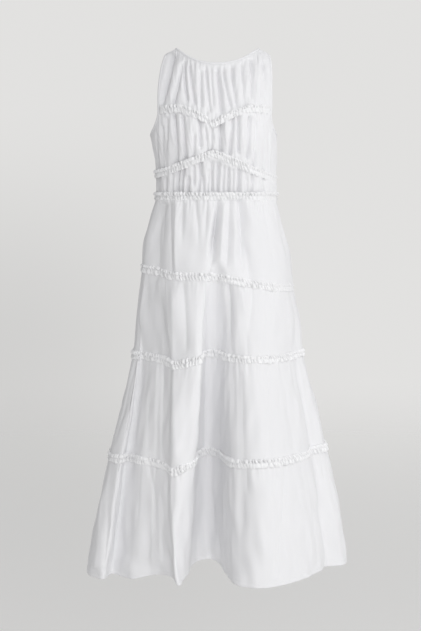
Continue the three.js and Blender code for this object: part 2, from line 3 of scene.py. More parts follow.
import bmesh
import bpy
import numpy as np
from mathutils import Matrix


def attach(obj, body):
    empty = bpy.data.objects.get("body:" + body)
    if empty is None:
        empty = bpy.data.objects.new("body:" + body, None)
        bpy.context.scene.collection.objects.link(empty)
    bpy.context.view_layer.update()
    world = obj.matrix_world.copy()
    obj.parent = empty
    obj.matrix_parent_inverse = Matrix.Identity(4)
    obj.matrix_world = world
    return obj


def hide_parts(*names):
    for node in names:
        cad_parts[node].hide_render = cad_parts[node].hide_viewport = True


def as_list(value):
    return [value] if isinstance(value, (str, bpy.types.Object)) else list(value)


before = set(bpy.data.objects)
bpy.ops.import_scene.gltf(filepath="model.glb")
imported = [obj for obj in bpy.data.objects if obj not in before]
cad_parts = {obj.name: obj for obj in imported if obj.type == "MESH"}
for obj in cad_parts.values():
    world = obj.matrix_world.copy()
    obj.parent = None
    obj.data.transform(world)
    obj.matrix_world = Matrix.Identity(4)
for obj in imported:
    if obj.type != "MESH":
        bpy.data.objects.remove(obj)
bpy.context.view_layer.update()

MM = 0.001
TAU = 2 * np.pi


def table(columns, text):
    """A table written as lines of numbers with comments, as one array for each named column."""
    rows = [line.partition("#")[0].split() for line in text.splitlines()]
    cells = zip(*[map(float, row) for row in rows if row])
    return {name: np.array(column) for name, column in zip(columns.split(), cells)}


# ---- Sizes of the dress ----

CLOTH = 0.5  # poplin, with the fullness that a single layer shows at its edge
SQUARENESS = 2.2
NECK_HALF = 99
NECK_DROP_FRONT = 42
NECK_DROP_BACK = 38
NECK_ROUNDNESS = 2.3
SHOULDER_HALF = 119
SHOULDER_START = 96.5
SHOULDER_SLOPE = 0.5
SHOULDER_ROUND = 80
SHOULDER_SHARE = 0.08  # of the top edge's width, on each side
LEVEL_ABOVE_Z = -58
CHEST_HALF = 129
ARMHOLE_CURVE_Z = -147
UNDERARM_Z = -205
ARMHOLE_SHARE = 0.17  # of the bust's top edge, on each side
ARMHOLE_EASE = 0.85  # how early the bust's edge runs down the armhole
WAIST_Z = -345
BUST = {"out": 9, "x": 75, "z": -217, "spread": 46}
CENTRE_X = -4
SWEETHEART = {"point_z": -182, "peak_z": -145, "peak_x": 83, "bend": 1.3}
UNDERBUST = {"peak_z": -248, "side_z": -299.5, "slant": 6, "bend": 1.25}
HEM_LEVEL = 4

BODICE = table("z half lean front back mid", """
-345 141.5 0 106 88 0
-284 142 0 111 91 0
-244 144 -1.5 117 95 0
-200 149.5 -6 121 99 1
-147 156 -3 112 100 2
-97 157 -2.5 96 92 4
-48 154.5 0.5 76 78 6
-12 147 3 61 64 8
35 137.5 3 50 52 8
""")
SEAMS = table("z slant lift", """
-345 0 0
-537 25 8
-718 0 9
-950 -6 5
-1213 0 0
""")
LIFT_TURN, LIFT_SPREAD = -2, 24  # where the lift of a seam is greatest, and how far round it reaches
SKIRT = table("level right left front back", """
0 141.5 141.5 106 88
0.3 153.5 153.5 122 108
0.6 167 169 136 128
1 174.5 183.5 152 148
1.5 187 199 172 166
2 196.5 208.5 188 180
2.5 221.5 236.5 210 198
3 251.5 265 232 214
3.5 279 294.5 248 228
4 303 315 262 240
""")

# The skirt's great folds, from the right side seam round the front and back to it: the turn at the waist,
# where the fold ends at the hem (x, y), the level it starts from, how early it opens (ease), and how far
# it hangs below the third seam (dip) and below the hem (drop).
FOLDS = table("turn x y from ease dip drop", """
-90 -304 -36 1 1 0 6  # right side seam
-80 -299 -112 1 1 -2 14  # side crest
-72 -262 -156 1.5 1.2 -4 14  # side edge
-67 -242 -112 1.5 1.2 -3 14  # side hollow
-60 -196 -160 1 1 -3 12  # right panel crest
-50 -146 -160 1 1 0 3  # right panel hollow
-42 -104 -192 1 0.8 6 -3  # ridge flank
-34.5 -84 -238 1 0.7 12 3  # ridge
-9.5 -68 -172 2 0.9 2 0  # right lobe edge
-6.5 -58 -108 1 1.2 -2 -3  # valley wall
-3 -38 -72 0.9 1.4 -4 -6  # valley foot
1 -12 -60 0.8 1.4 -4 -6  # valley floor
5 8 -94 0.9 1.4 -3 -5  # valley side
9 22 -154 0.9 1.2 0 0  # left lobe wall
15 46 -232 1 1 -1 2  # left lobe edge
25 98 -260 1 1 -5 3  # left lobe crest
38 156 -238 1 1 -5 1  # left lobe
50 206 -190 1 1 -5 -1  # left panel crease
62 246 -138 1 1 -6 -2  # left panel
69 256 -104 1.4 1.1 -7 0  # left hollow
79 301 -86 1.2 1 -9 0  # left side crest
90 313 -20 1 1 -4 0  # left side seam
103 297 56 1 1 0 2  # back crest 1
116 241 92 1 1.1 0 0  # back hollow 1
129 225 168 1 1 2 4  # back crest 2
142 155 168 0.8 1.1 0 0  # back hollow 2
154 127 238 1 1 2 4  # back crest 3
167 59 194 0.6 1.1 0 0  # back hollow 3
180 4 250 1 1 2 4  # back crest 4
193 -53 196 0.8 1.1 0 0  # back hollow 4
206 -121 238 1 1 2 4  # back crest 5
219 -155 168 0.8 1.1 0 0  # back hollow 5
232 -225 168 1 1 2 4  # back crest 6
246 -243 90 1 1.1 0 0  # back hollow 6
258 -295 46 1 1 0 4  # back crest 7
""")
FOLD_COUNT = len(FOLDS["turn"])

# Creases of the front, each from a start (x0, z0) to an end (x1, z1), with a bow to the
# wearer's left, a width, a depth (a ridge where it is negative), and the lengths over which it grows
# from its start (rise) and dies away at its end (fade).
CREASE_COLUMNS = "x0 z0 x1 z1 bow width depth rise fade"
BODICE_CREASES = table(CREASE_COLUMNS, """
# yoke
-101 -12 -133 -142 3 5.4 19 8 14
-112 -70 -120 -125 0 3.4 5.8 20 20
-80 -40 -100 -139 3 3 11.4 8 8
-74 -33 -65 -134 -3 2.7 10.5 8 8
-63 -40 -49 -142 0 2.7 10.5 8 8
-35 -52 -33 -148 -2 2.7 8 16 8
-26 -46 -14 -158 0 2.7 6.9 10 8
-13 -46 -6 -152 0 2.6 5.6 10 20
2 -48 12 -164 0 4.1 13.9 12 8
16 -48 36 -152 -4 2.7 8 10 8
35 -42 48 -148 -2.5 3.4 9.2 10 8
58 -36 66 -148 -1 3 7.8 10 8
79 -24 79 -135 3.5 4.1 10.6 8 24
100 -60 102 -140 0 5.4 3.6 24 24
108 -30 114 -92 0 3.8 8.3 10 24
# bust
-138 -190 -136 -292 0 3.4 4.8 16 8
-124 -178 -123 -292 0 3.4 5.9 16 8
-114 -160 -114 -246 0 3.4 7.8 10 30
-99 -154 -92 -278 2 3.8 14.6 8 8
-77 -160 -70 -271 0 3.4 12 8 8
-49 -196 -52 -262 0 2.7 7.3 20 8
-38 -166 -36 -246 0 3.4 11.2 8 16
-25 -185 -18 -258 0 2.7 7.3 12 8
-11 -184 -10 -252 0 2.6 6.1 10 8
9 -176 9 -252 0 4.8 15.6 8 8
38 -164 30 -258 0 3.4 12 8 8
50 -160 50 -256 0 3 10.7 8 14
76 -160 70 -266 2.5 3 10.7 8 8
91 -166 84 -286 2 3.4 5.9 14 10
112 -225 109 -302 0 4.1 3.8 24 8
# midriff
-135 -292 -135 -340 0 4.1 8.2 8 6
-117 -296 -118 -340 0 2.7 6.6 8 6
-101 -290 -103 -340 0 2.7 5.4 8 6
-88 -280 -92 -342 0 3.4 13.5 6 6
-76 -278 -82 -342 0 3 12 6 6
-64 -296 -66 -342 0 3 12 12 6
-51 -272 -53 -330 0 2.7 5.4 8 16
-36 -262 -36 -304 0 3 13.5 6 12
-35 -292 -43 -342 0 2.7 10.8 12 6
-32 -292 -29 -342 0 2.6 9.2 12 6
-16 -280 -21 -342 0 2.7 6.6 12 6
-10 -262 -10 -342 0 3 13.5 8 6
6 -264 3 -342 -1.5 3.4 13.5 8 6
18 -272 15 -342 0 2.7 9.2 8 6
28 -276 28 -342 0 3 12.5 8 6
38 -280 38 -342 0 2.7 5.9 8 6
54 -280 50 -342 0 3 13.5 8 6
68 -288 74 -342 0 3 7.1 8 6
84 -290 82 -342 0 3 9.8 8 6
98 -296 97 -342 0 3.4 3.3 8 6
110 -298 108 -340 0 3.4 5 8 8
""")
SKIRT_CREASES = table(CREASE_COLUMNS, """
# first tier
-145 -350 -175 -516 5 5.4 6.8 8 20
-127 -350 -126 -470 0 3.8 4.2 8 60
-109 -350 -103 -526 3 4.6 4 8 10
-91 -352 -93 -545 0 6.5 -6 8 60
-77 -352 -78 -470 0 4.6 5.5 10 60
-62 -350 -62 -400 0 3.8 2.8 6 30
-51 -350 -41 -470 4 4.6 5 8 60
-32 -350 -33 -395 0 3.8 2.8 6 30
-20 -352 -27 -465 0 4.6 4.2 10 60
-9 -348 -8 -386 0 3.4 3.3 6 20
-3 -352 -23 -500 0 6.1 -2.8 10 50
3 -348 -16 -545 2 6.5 9 8 24
18 -356 8 -515 0 4.6 -3 10 40
32 -348 23 -520 0 6 10 8 50
43 -356 41 -520 0 6 -2.8 10 40
54 -348 62 -530 0 8 16 8 70
66 -430 80 -545 0 12 10 60 12
82 -350 83 -390 0 3.8 2.8 6 25
98 -350 99 -400 0 4.6 2.2 8 30
112 -350 114 -420 0 5.4 2.4 8 30
126 -460 134 -530 0 4.6 1.7 20 20
# second tier
-172 -520 -174 -610 0 4.6 2.8 10 40
-143 -520 -146 -580 0 5.4 2.2 8 40
-121 -522 -123 -600 0 6.1 2.8 8 50
-91 -540 -89 -590 0 6.1 -2.1 8 30
-77 -536 -69 -705 4 5.4 3.5 8 30
-43 -540 -45 -715 0 9.2 -2.4 10 20
-22 -525 -26 -735 0 9.2 6 80 20
19 -545 26 -705 0 6.9 -3.1 10 20
27 -535 33 -735 0 6.5 11 16 20
55 -552 66 -625 0 6.1 -2 10 30
68 -640 72 -712 0 4.6 2.2 30 10
84 -545 74 -665 0 6.1 4.6 10 50
111 -560 114 -720 0 4.6 1.8 30 10
161 -552 170 -722 0 5.4 3.5 16 16
175 -560 187 -705 0 6.9 -2 20 20
# third tier
-201 -724 -243 -925 0 5.4 3.6 20 20
-178 -724 -198 -910 -6 12.2 -2 10 30
-161 -724 -156 -940 0 9.9 2.5 10 20
-135 -724 -133 -810 0 5.4 -1.4 10 40
-121 -715 -118 -960 0 7.6 4.9 20 20
-99 -722 -89 -940 0 6.1 -1.7 10 20
-75 -722 -73 -770 0 5.4 1.2 8 30
-25 -715 -26 -950 0 9.2 4 20 30
10 -730 10 -930 0 3.8 -1.4 20 20
29 -712 30 -900 3 6.5 8 20 60
59 -735 61 -945 0 4.6 2.2 20 10
72 -720 74 -765 0 4.6 2 8 30
90 -722 92 -790 0 5.4 1.2 8 40
116 -722 120 -945 0 4.6 1.6 20 20
147 -722 151 -800 0 6.1 1.2 8 50
179 -722 203 -930 0 4.6 4.4 20 12
192 -735 223 -925 0 7.6 -1.7 20 20
# fourth tier
-249 -945 -257 -1212 0 6.9 4.7 12 6
-221 -940 -229 -1010 0 5.4 2.4 8 40
-203 -945 -209 -1100 0 12.2 -2.4 10 50
-178 -945 -185 -1130 0 10.7 3.7 10 60
-160 -940 -125 -1095 2 6.1 4.2 10 40
-125 -1070 -119 -1190 0 6.1 2.4 40 30
-108 -942 -98 -1070 0 6.1 5.8 8 50
-121 -990 -89 -1112 0 5.4 -1.7 30 30
-87 -948 -83 -1000 0 5.4 1.7 8 30
17 -945 13 -1120 0 6.1 2.4 10 50
37 -945 39 -1000 0 5.4 1.9 8 30
57 -945 61 -1125 0 9.9 4.2 10 60
66 -942 68 -1015 0 4.6 4.2 8 40
86 -944 88 -990 0 4.6 2 8 30
107 -944 110 -1010 0 5.4 1.9 8 40
136 -950 132 -1198 -2 3.4 2.6 30 10
155 -945 133 -1194 5 3.4 2.8 12 12
178 -1018 214 -1000 0 3.8 2 12 8
170 -1046 190 -1028 0 4.6 1.7 12 12
205 -935 237 -1200 1 4.6 5.2 12 8
247 -930 259 -1040 0 6.1 2.4 10 50
""")
# One deep stroke below the waist, and broad hollows and swells along the great folds of the skirt's front.
SKIRT_HOLLOWS = table(CREASE_COLUMNS, """
3 -350 -15 -505 1 4.2 20 70 70
-134 -352 -142 -552 0 25 15 14 40
-145 -520 -155 -740 0 27 5 40 40
-180 -700 -194 -960 0 24 8 50 40
-194 -930 -204 -1200 0 24 8 50 30
-134 -710 -142 -960 0 16 -5 50 30
-142 -940 -146 -1200 0 18 -8 40 30
""")
# How the great folds open: places read as for creases, where the cloth moves straight back, or forward
# where the depth is negative. The move fades out over the last OPENING_FADE of y before the sides.
OPENING_FADE = 40
FOLD_OPENING = table(CREASE_COLUMNS, """
-6 -600 2 -1200 0 25 -20 90 30
-124 -640 -128 -1200 0 13 -7 60 30
48 -620 58 -1200 0 20 9 90 40
-101 -540 -97 -960 0 17 -13 40 50
-258 -950 -283 -1208 0 9 -11 60 10
""")
# Creases at both sides of the skirt, where x0 and x1 are read along y.
SIDE_CREASES = table(CREASE_COLUMNS, """
-46 -352 -60 -500 0 6.3 4.8 8 50
-14 -352 -20 -480 0 7.2 5.5 8 60
20 -352 30 -510 0 6.3 5.3 8 40
50 -352 66 -470 0 5.4 3.8 8 60
-60 -540 -74 -700 0 8.1 4.3 10 50
-8 -540 -4 -640 0 7.2 3.4 10 60
36 -540 48 -712 0 8.1 4.6 10 30
78 -545 84 -640 0 6.3 2.9 10 50
-84 -724 -104 -900 0 8.1 4.1 10 60
-26 -724 -34 -940 0 9.9 5 10 20
22 -724 30 -850 0 7.2 3.1 10 60
70 -724 90 -935 0 8.1 4.3 10 30
-70 -945 -82 -1120 0 9 4.3 10 60
-18 -945 -14 -1205 0 8.1 3.8 10 10
34 -945 40 -1080 0 9 4.3 10 60
80 -945 96 -1190 0 8.1 3.4 10 30
""")
# Creases of the back bodice, which is one panel from the neck to the waist.
BACK_CREASES = table(CREASE_COLUMNS, """
-112 -30 -120 -190 3 5.4 6.2 10 60
-84 -24 -96 -335 4 4.2 7 8 10
-66 -34 -70 -210 -3 3.4 6.2 8 50
-52 -210 -56 -342 0 3.8 6.8 50 6
-42 -42 -36 -338 -4 3.8 7 8 8
-20 -46 -17 -180 0 3.4 5.3 8 50
-10 -150 -12 -342 2 4.2 7.7 50 6
6 -48 10 -260 0 4.2 7.7 8 60
24 -46 31 -342 3 3.4 6.8 8 6
48 -42 46 -200 -2 3.8 6.2 8 60
55 -190 58 -342 0 3.4 6.2 40 6
68 -34 80 -340 3 3.8 7.4 8 6
90 -24 100 -230 0 4.6 6.2 8 60
112 -200 108 -342 0 3.8 4.6 50 6
124 -220 126 -342 0 3.8 4 40 6
-118 -220 -114 -342 0 3.8 4.6 40 6
-84 -250 -82 -342 0 3.4 4.6 40 6
""")


# ---- Curves through tables ----

def smooth_between(a, b, c, d, f):
    """The value at f between b and c, on a smooth curve that also heeds their neighbours a and d."""
    bend = (2 * a - 5 * b + 4 * c - d) * f + (3 * b - 3 * c + d - a) * f * f
    return b + 0.5 * f * (c - a + bend)


def read_table(rows, key, column, at):
    """A column of a table as a smooth function of its key column, held level past both ends."""
    keys, values = rows[key], rows[column]
    last = len(keys) - 1
    i = np.clip(np.searchsorted(keys, at, side="right") - 1, 0, last - 1)
    f = np.clip((at - keys[i]) / (keys[i + 1] - keys[i]), 0, 1)
    before, after = values[np.maximum(i - 1, 0)], values[np.minimum(i + 2, last)]
    return smooth_between(before, values[i], values[i + 1], after, f)


def lerp(a, b, share):
    return a + (b - a) * share


def smoothstep(x, low, high):
    t = np.clip((x - low) / (high - low), 0, 1)
    return t * t * (3 - 2 * t)


def swell(share):
    return np.sqrt(np.sin(np.pi * np.clip(share, 0, 1)))


def round_about(turn):
    def bent(value):
        return np.sign(value) * np.abs(value) ** (2 / SQUARENESS)

    return bent(np.sin(np.radians(turn))), bent(np.cos(np.radians(turn)))


# ---- The bodice's form ----

def shoulder_height(x):
    return (SHOULDER_START - np.abs(x)) * SHOULDER_SLOPE


def bodice_point(turn, z):
    across, ahead = round_about(turn)
    x = read_table(BODICE, "z", "half", z) * across
    from_bust = (np.abs(x) - BUST["x"]) ** 2 + (z - BUST["z"]) ** 2
    fullness = BUST["out"] * np.exp(-from_bust / BUST["spread"] ** 2)
    front = read_table(BODICE, "z", "front", z) + fullness
    depth = np.where(ahead > 0, front, read_table(BODICE, "z", "back", z))
    drop = np.clip((shoulder_height(x) - z) / SHOULDER_ROUND, 0, 1)
    roll = np.sqrt(1 - (1 - drop) ** 2)
    x = x + read_table(BODICE, "z", "lean", z)
    return np.stack([x, read_table(BODICE, "z", "mid", z) - depth * ahead * roll, z], axis=-1)


def turn_at(x, z):
    share = np.clip(np.abs(x) / read_table(BODICE, "z", "half", z), 0, 1)
    return np.sign(x) * np.degrees(np.arcsin(share ** (SQUARENESS / 2)))


ARMHOLE_TURN = float(turn_at(CHEST_HALF, ARMHOLE_CURVE_Z))


def neck_height(x, drop):
    return shoulder_height(NECK_HALF) - drop * (1 - (np.abs(x) / NECK_HALF) ** NECK_ROUNDNESS)


def sweetheart_height(turn):
    at_peak = np.full_like(turn, SWEETHEART["peak_z"])
    x = np.abs(bodice_point(turn, at_peak)[..., 0] - CENTRE_X)
    to_peak = np.clip(x / SWEETHEART["peak_x"], 0, 1)
    rise = 1 - (1 - to_peak) ** SWEETHEART["bend"]
    fall = (ARMHOLE_CURVE_Z - SWEETHEART["peak_z"]) * smoothstep(x, SWEETHEART["peak_x"], CHEST_HALF)
    return lerp(SWEETHEART["point_z"], SWEETHEART["peak_z"], rise) + fall


def underbust_height(turn):
    shift = np.degrees(CENTRE_X / BODICE["half"][0]) * np.cos(np.radians(turn))
    aside = np.abs(np.sin(np.radians(turn - shift)))
    slant = UNDERBUST["slant"] * np.sin(np.radians(turn))
    fall = 1 - (1 - aside) ** UNDERBUST["bend"]
    return lerp(UNDERBUST["peak_z"], UNDERBUST["side_z"], fall) - slant


def armhole_curve(share):
    """Turn and height of the armhole's lower curve, from its straight edge (0) to the underarm (1)."""
    swing = share * np.pi / 2
    turn = 90 - (90 - ARMHOLE_TURN) * np.cos(swing)
    return turn, ARMHOLE_CURVE_Z + (UNDERARM_Z - ARMHOLE_CURVE_Z) * np.sin(swing)


def neck_and_shoulders(u, neck_drop):
    """Turn and height of the top edge: shoulder, neck and shoulder."""
    aside = 2 * u - 1
    neck_end = 1 - SHOULDER_SHARE
    on_neck = np.clip(aside / neck_end, -1, 1)
    neck_x = NECK_HALF * np.sin(np.pi / 2 * on_neck)
    past = np.clip((np.abs(aside) - neck_end) / SHOULDER_SHARE, 0, 1)
    x = np.where(past > 0, np.sign(aside) * lerp(NECK_HALF, SHOULDER_HALF, past), neck_x)
    z = np.where(past > 0, shoulder_height(x), neck_height(neck_x, neck_drop))
    return turn_at(x, z), z


def across_chest(u):
    z = np.full_like(u, ARMHOLE_CURVE_Z)
    return turn_at(lerp(-CHEST_HALF, CHEST_HALF, u), z), z


def armhole_side(share):
    """Turn and height of the armhole's straight edge, from the chest (0) to the shoulder (1)."""
    end = shoulder_height(SHOULDER_HALF)
    return lerp(ARMHOLE_TURN, float(turn_at(SHOULDER_HALF, end)), share), lerp(ARMHOLE_CURVE_Z, end, share)


# ---- The skirt's form ----

def skirt_girth(turn, level):
    across, ahead = round_about(turn)

    def girth(column):
        return read_table(SKIRT, "level", column, level)

    x = across * np.where(across > 0, girth("left"), girth("right"))
    return x, -ahead * np.where(ahead > 0, girth("front"), girth("back"))


def read_folds(place, value):
    """A value of the folds (a function of their row numbers) at places counted in rows round the body."""
    i = np.floor(place).astype(int)
    return smooth_between(value(i - 1), value(i), value(i + 1), value(i + 2), place - i)


def fold_column(name):
    return lambda k: FOLDS[name][k % FOLD_COUNT]


def fold_turn(k):
    return FOLDS["turn"][k % FOLD_COUNT] + 360 * (k // FOLD_COUNT)


HEM_GIRTH = skirt_girth(FOLDS["turn"], np.full(FOLD_COUNT, float(HEM_LEVEL)))


def seam_height(level, turn):
    k = np.clip(np.floor(level).astype(int), 0, HEM_LEVEL - 1)
    lifted = np.exp(-(((turn - LIFT_TURN) / LIFT_SPREAD) ** 2))[:, None] * SEAMS["lift"]
    z = SEAMS["z"] - SEAMS["slant"] * np.sin(np.radians(turn))[:, None] + lifted
    rows = np.arange(len(turn))
    return lerp(z[rows, k], z[rows, k + 1], level - k)


def skirt_point(place, level):
    turn = read_folds(place, fold_turn)

    def reach(axis):
        def out(k):
            k = k % FOLD_COUNT
            share = np.clip((level - FOLDS["from"][k]) / (HEM_LEVEL - FOLDS["from"][k]), 0, 1)
            opened = 1 - (1 - share) ** FOLDS["ease"][k]
            return (FOLDS["xy"[axis]][k] - HEM_GIRTH[axis][k]) * opened

        return read_folds(place, out)

    x, y = skirt_girth(turn, level)
    dip = read_folds(place, fold_column("dip")) * smoothstep(level, 0, HEM_LEVEL - 1)
    drop = read_folds(place, fold_column("drop"))
    hang = lerp(dip, drop, smoothstep(level, HEM_LEVEL - 1, HEM_LEVEL))
    x, y, z = x + reach(0), y + reach(1), seam_height(level, turn) - hang
    return np.stack([x, y + creased(x, z, FOLD_OPENING) * smoothstep(-y, 0, OPENING_FADE), z], axis=-1)


# ---- Directions on a surface ----

def facing(surface, a, b, step_a, step_b):
    """Outward directions of a surface at two of its own measures, one round the body and one rising."""
    across = surface(a + step_a, b) - surface(a - step_a, b)
    up = surface(a, b + step_b) - surface(a, b - step_b)
    normal = np.cross(across, up)
    normal /= np.linalg.norm(normal, axis=-1, keepdims=True)
    normal[:, 2] *= smoothstep(surface(a, b)[:, 2], ARMHOLE_CURVE_Z, LEVEL_ABOVE_Z)
    return normal / np.linalg.norm(normal, axis=-1, keepdims=True)


BODICE_PROBE = (0.2, 0.5)  # degrees of turn and mm of height between which a direction is measured
SKIRT_PROBE = (0.01, 0.004)  # the same in rows of folds and levels


def bodice_spot(turn, z):
    return bodice_point(turn, z), facing(bodice_point, turn, z, *BODICE_PROBE)


def skirt_spot(place, level):
    def rising(around, above):
        return skirt_point(around, -above)

    return skirt_point(place, level), facing(rising, place, -level, *SKIRT_PROBE)


# ---- Creases, gathers and unevenness, as heights above a form ----

# A crease's section: a narrow core and a foot spread times as wide, each with its share of the depth.
CREASE = {"core": 0.8, "power": 1.3, "foot": 0.2, "spread": 2.6}
# How unevenly gathers lie: shifted (of their pitch), deep, far (of their reach), wide (of their pitch) and
# leaning. On the seam they have the share on_seam of their depth, and all of it at rim from it.
PUCKER = {
    "shift": 0.35, "deep": (0.35, 1), "far": (0.5, 1.6), "wide": (0.22, 0.36), "lean": 0.07,
    "fade": 1.6, "on_seam": 0.3, "rim": 9,
}


def creased(x, z, creases):
    """How far creases press the cloth in at places (x, z)."""
    depth = np.zeros_like(x)
    for x0, z0, x1, z1, bow, width, deep, rise, fade in zip(*creases.values()):
        length = math.hypot(x1 - x0, z1 - z0)
        along_x, along_z = (x1 - x0) / length, (z1 - z0) / length
        along = (x - x0) * along_x + (z - z0) * along_z
        share = np.clip(along / length, 0, 1)
        aside = ((z - z0) * along_x - (x - x0) * along_z - bow * 4 * share * (1 - share)) / width
        ends = smoothstep(along, 0, rise) * (1 - smoothstep(along, length - fade, length))
        core = CREASE["core"] * np.exp(-np.abs(aside) ** CREASE["power"])
        depth += deep * ends * (core + CREASE["foot"] * np.exp(-(aside / CREASE["spread"]) ** 2))
    return depth


def mirrored(creases):
    return {**creases, **{key: -creases[key] for key in ("x0", "x1", "bow")}}


def puckers(along, away, length, pitch, depth, reach, seed, ring=False):
    """Fine uneven gathers that run in from a seam: places along it and away from it."""
    random = np.random.default_rng(seed)
    count = round(length / pitch)
    shifts = random.uniform(-PUCKER["shift"], PUCKER["shift"], count)
    centres = (np.arange(count) + shifts) * length / count
    deeps, fars = random.uniform(*PUCKER["deep"], count), reach * random.uniform(*PUCKER["far"], count)
    widths, leans = pitch * random.uniform(*PUCKER["wide"], count), random.normal(0, PUCKER["lean"], count)
    total = np.zeros_like(along)
    near = np.flatnonzero(away < reach * 3)
    s, d = along[near], away[near]
    for centre, deep, far, width, lean in zip(centres, deeps, fars, widths, leans):
        aside = s - centre - lean * d
        if ring:
            aside = (aside + length / 2) % length - length / 2
        total[near] += deep * np.exp(-(aside / width) ** 2 - (d / far) ** PUCKER["fade"])
    return depth * total * lerp(PUCKER["on_seam"], 1, smoothstep(away, 0, PUCKER["rim"]))


def undulation(across, down, wide, tall, height, seed, around=None, waves=18):
    """Soft unevenness, in waves about wide across and tall down. Round a ring it closes on itself."""
    random = np.random.default_rng(seed)
    total = np.zeros_like(across)
    for k_across, k_down, phase in random.normal(0, 1, (waves, 3)):
        k = k_across / wide
        if around:
            k = round(k * around) / around
        total += np.cos(TAU * (k * across + k_down / tall * down + phase))
    return height * total * math.sqrt(2 / waves)


# ---- Meshes ----

def added(name, data):
    """A new object in the scene."""
    made = bpy.data.objects.new(name, data)
    bpy.context.scene.collection.objects.link(made)
    return made


def spaced(length, fine, coarse, reach, samples=2001):
    """Shares from 0 to 1 that lie a fine step apart at both ends and a coarse one in the middle."""
    fine_grid = np.linspace(0, length, samples)
    from_end = np.minimum(fine_grid, length - fine_grid)
    step = lerp(fine, coarse, smoothstep(from_end, 0, reach))
    counted = np.concatenate([[0], np.cumsum(2 / (step[1:] + step[:-1]) * np.diff(fine_grid))])
    count = math.ceil(counted[-1])
    return np.interp(np.linspace(0, counted[-1], count + 1), counted, fine_grid) / length


def evenly(count):
    return np.linspace(0, 1, count + 1)


def along_ring(path_point, fine_count=3000):
    """The length of a closed path and a function that gives its measure at shares of the length."""
    measure = np.linspace(0, 1, fine_count)
    steps = np.linalg.norm(np.diff(path_point(measure), axis=0), axis=1)
    walked = np.concatenate([[0], np.cumsum(steps)])
    return walked[-1], lambda share: np.interp(share, walked / walked[-1], measure)


def grid_piece(name, us, vs, place, cut, material, close=False, furrow=None):
    """A piece of a fine grid. place gives the points at shares u and v, and cut is the width and
    length of cloth that its UV map spans. close joins edges that meet. furrow says how deep in a
    furrow too fine for the grid each point is, 0 to 1, for the material."""
    bm = bmesh.new()
    bm.loops.layers.uv.new("cut")
    bmesh.ops.create_grid(bm, x_segments=len(us) - 1, y_segments=len(vs) - 1, size=0.5)
    mesh = bpy.data.meshes.new(name)
    bm.to_mesh(mesh)
    flat = np.empty(len(mesh.vertices) * 3)
    mesh.vertices.foreach_get("co", flat)
    flat = flat.reshape(-1, 3) + 0.5
    u = us[np.rint(flat[:, 0] * (len(us) - 1)).astype(int)]
    v = vs[np.rint(flat[:, 1] * (len(vs) - 1)).astype(int)]
    mesh.vertices.foreach_set("co", (place(u, v) * MM).ravel())
    corners = np.empty(len(mesh.loops), dtype=np.int32)
    mesh.loops.foreach_get("vertex_index", corners)
    spread = np.stack([u, v], axis=-1)[corners] * np.array(cut)
    mesh.uv_layers["cut"].data.foreach_set("uv", spread.ravel())
    if furrow:
        mesh.attributes.new("furrow", "FLOAT", "POINT").data.foreach_set("value", furrow(u, v))
    bm.clear()
    bm.from_mesh(mesh)
    if close:
        bmesh.ops.remove_doubles(bm, verts=bm.verts, dist=1e-6)
    for face in bm.faces:
        face.smooth = True
    bm.to_mesh(mesh)
    bm.free()
    mesh.materials.append(material)
    return added(name, mesh)


def thickened(piece, thickness):
    wall = piece.modifiers.new("wall", "SOLIDIFY")
    wall.thickness = thickness * MM
    wall.offset = -1
    return piece


def belongs(piece, slot, *nodes):
    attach(piece, "root")
    if nodes:
        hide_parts(*nodes)
    return piece


# ---- Materials ----

def effect_group(name, inputs, outputs):
    """An empty shader node group with its inputs {name: (kind, value)} and outputs {name: kind}."""
    group = bpy.data.node_groups.new(name, "ShaderNodeTree")
    for label, (kind, value) in inputs.items():
        socket = group.interface.new_socket(label, in_out="INPUT", socket_type=kind)
        if value is not None:
            socket.default_value = value
    for label, kind in outputs.items():
        group.interface.new_socket(label, in_out="OUTPUT", socket_type=kind)
    return group, group.nodes.new("NodeGroupInput"), group.nodes.new("NodeGroupOutput")


class Wiring:
    """Short calls for adding linked nodes to a node tree."""

    def __init__(self, tree):
        self.tree = tree

    def link(self, output, socket):
        self.tree.links.new(output, socket)

    def node(self, kind, inputs=None, **settings):
        made = self.tree.nodes.new(kind)
        for key, value in settings.items():
            setattr(made, key, value)
        for key, value in (inputs or {}).items():
            if isinstance(value, bpy.types.NodeSocket):
                self.link(value, made.inputs[key])
            else:
                made.inputs[key].default_value = value
        return made

    def math(self, operation, a, b=0.0, c=0.0):
        return self.node("ShaderNodeMath", {0: a, 1: b, 2: c}, operation=operation).outputs[0]

    def eased(self, given):
        return self.node("ShaderNodeMapRange", given, interpolation_type="SMOOTHSTEP").outputs["Result"]

    def vector(self, operation, a, b):
        return self.node("ShaderNodeVectorMath", {0: a, 1: b}, operation=operation).outputs[0]


SLUBS = (1400, 45)  # noise for each metre across a thread and along it


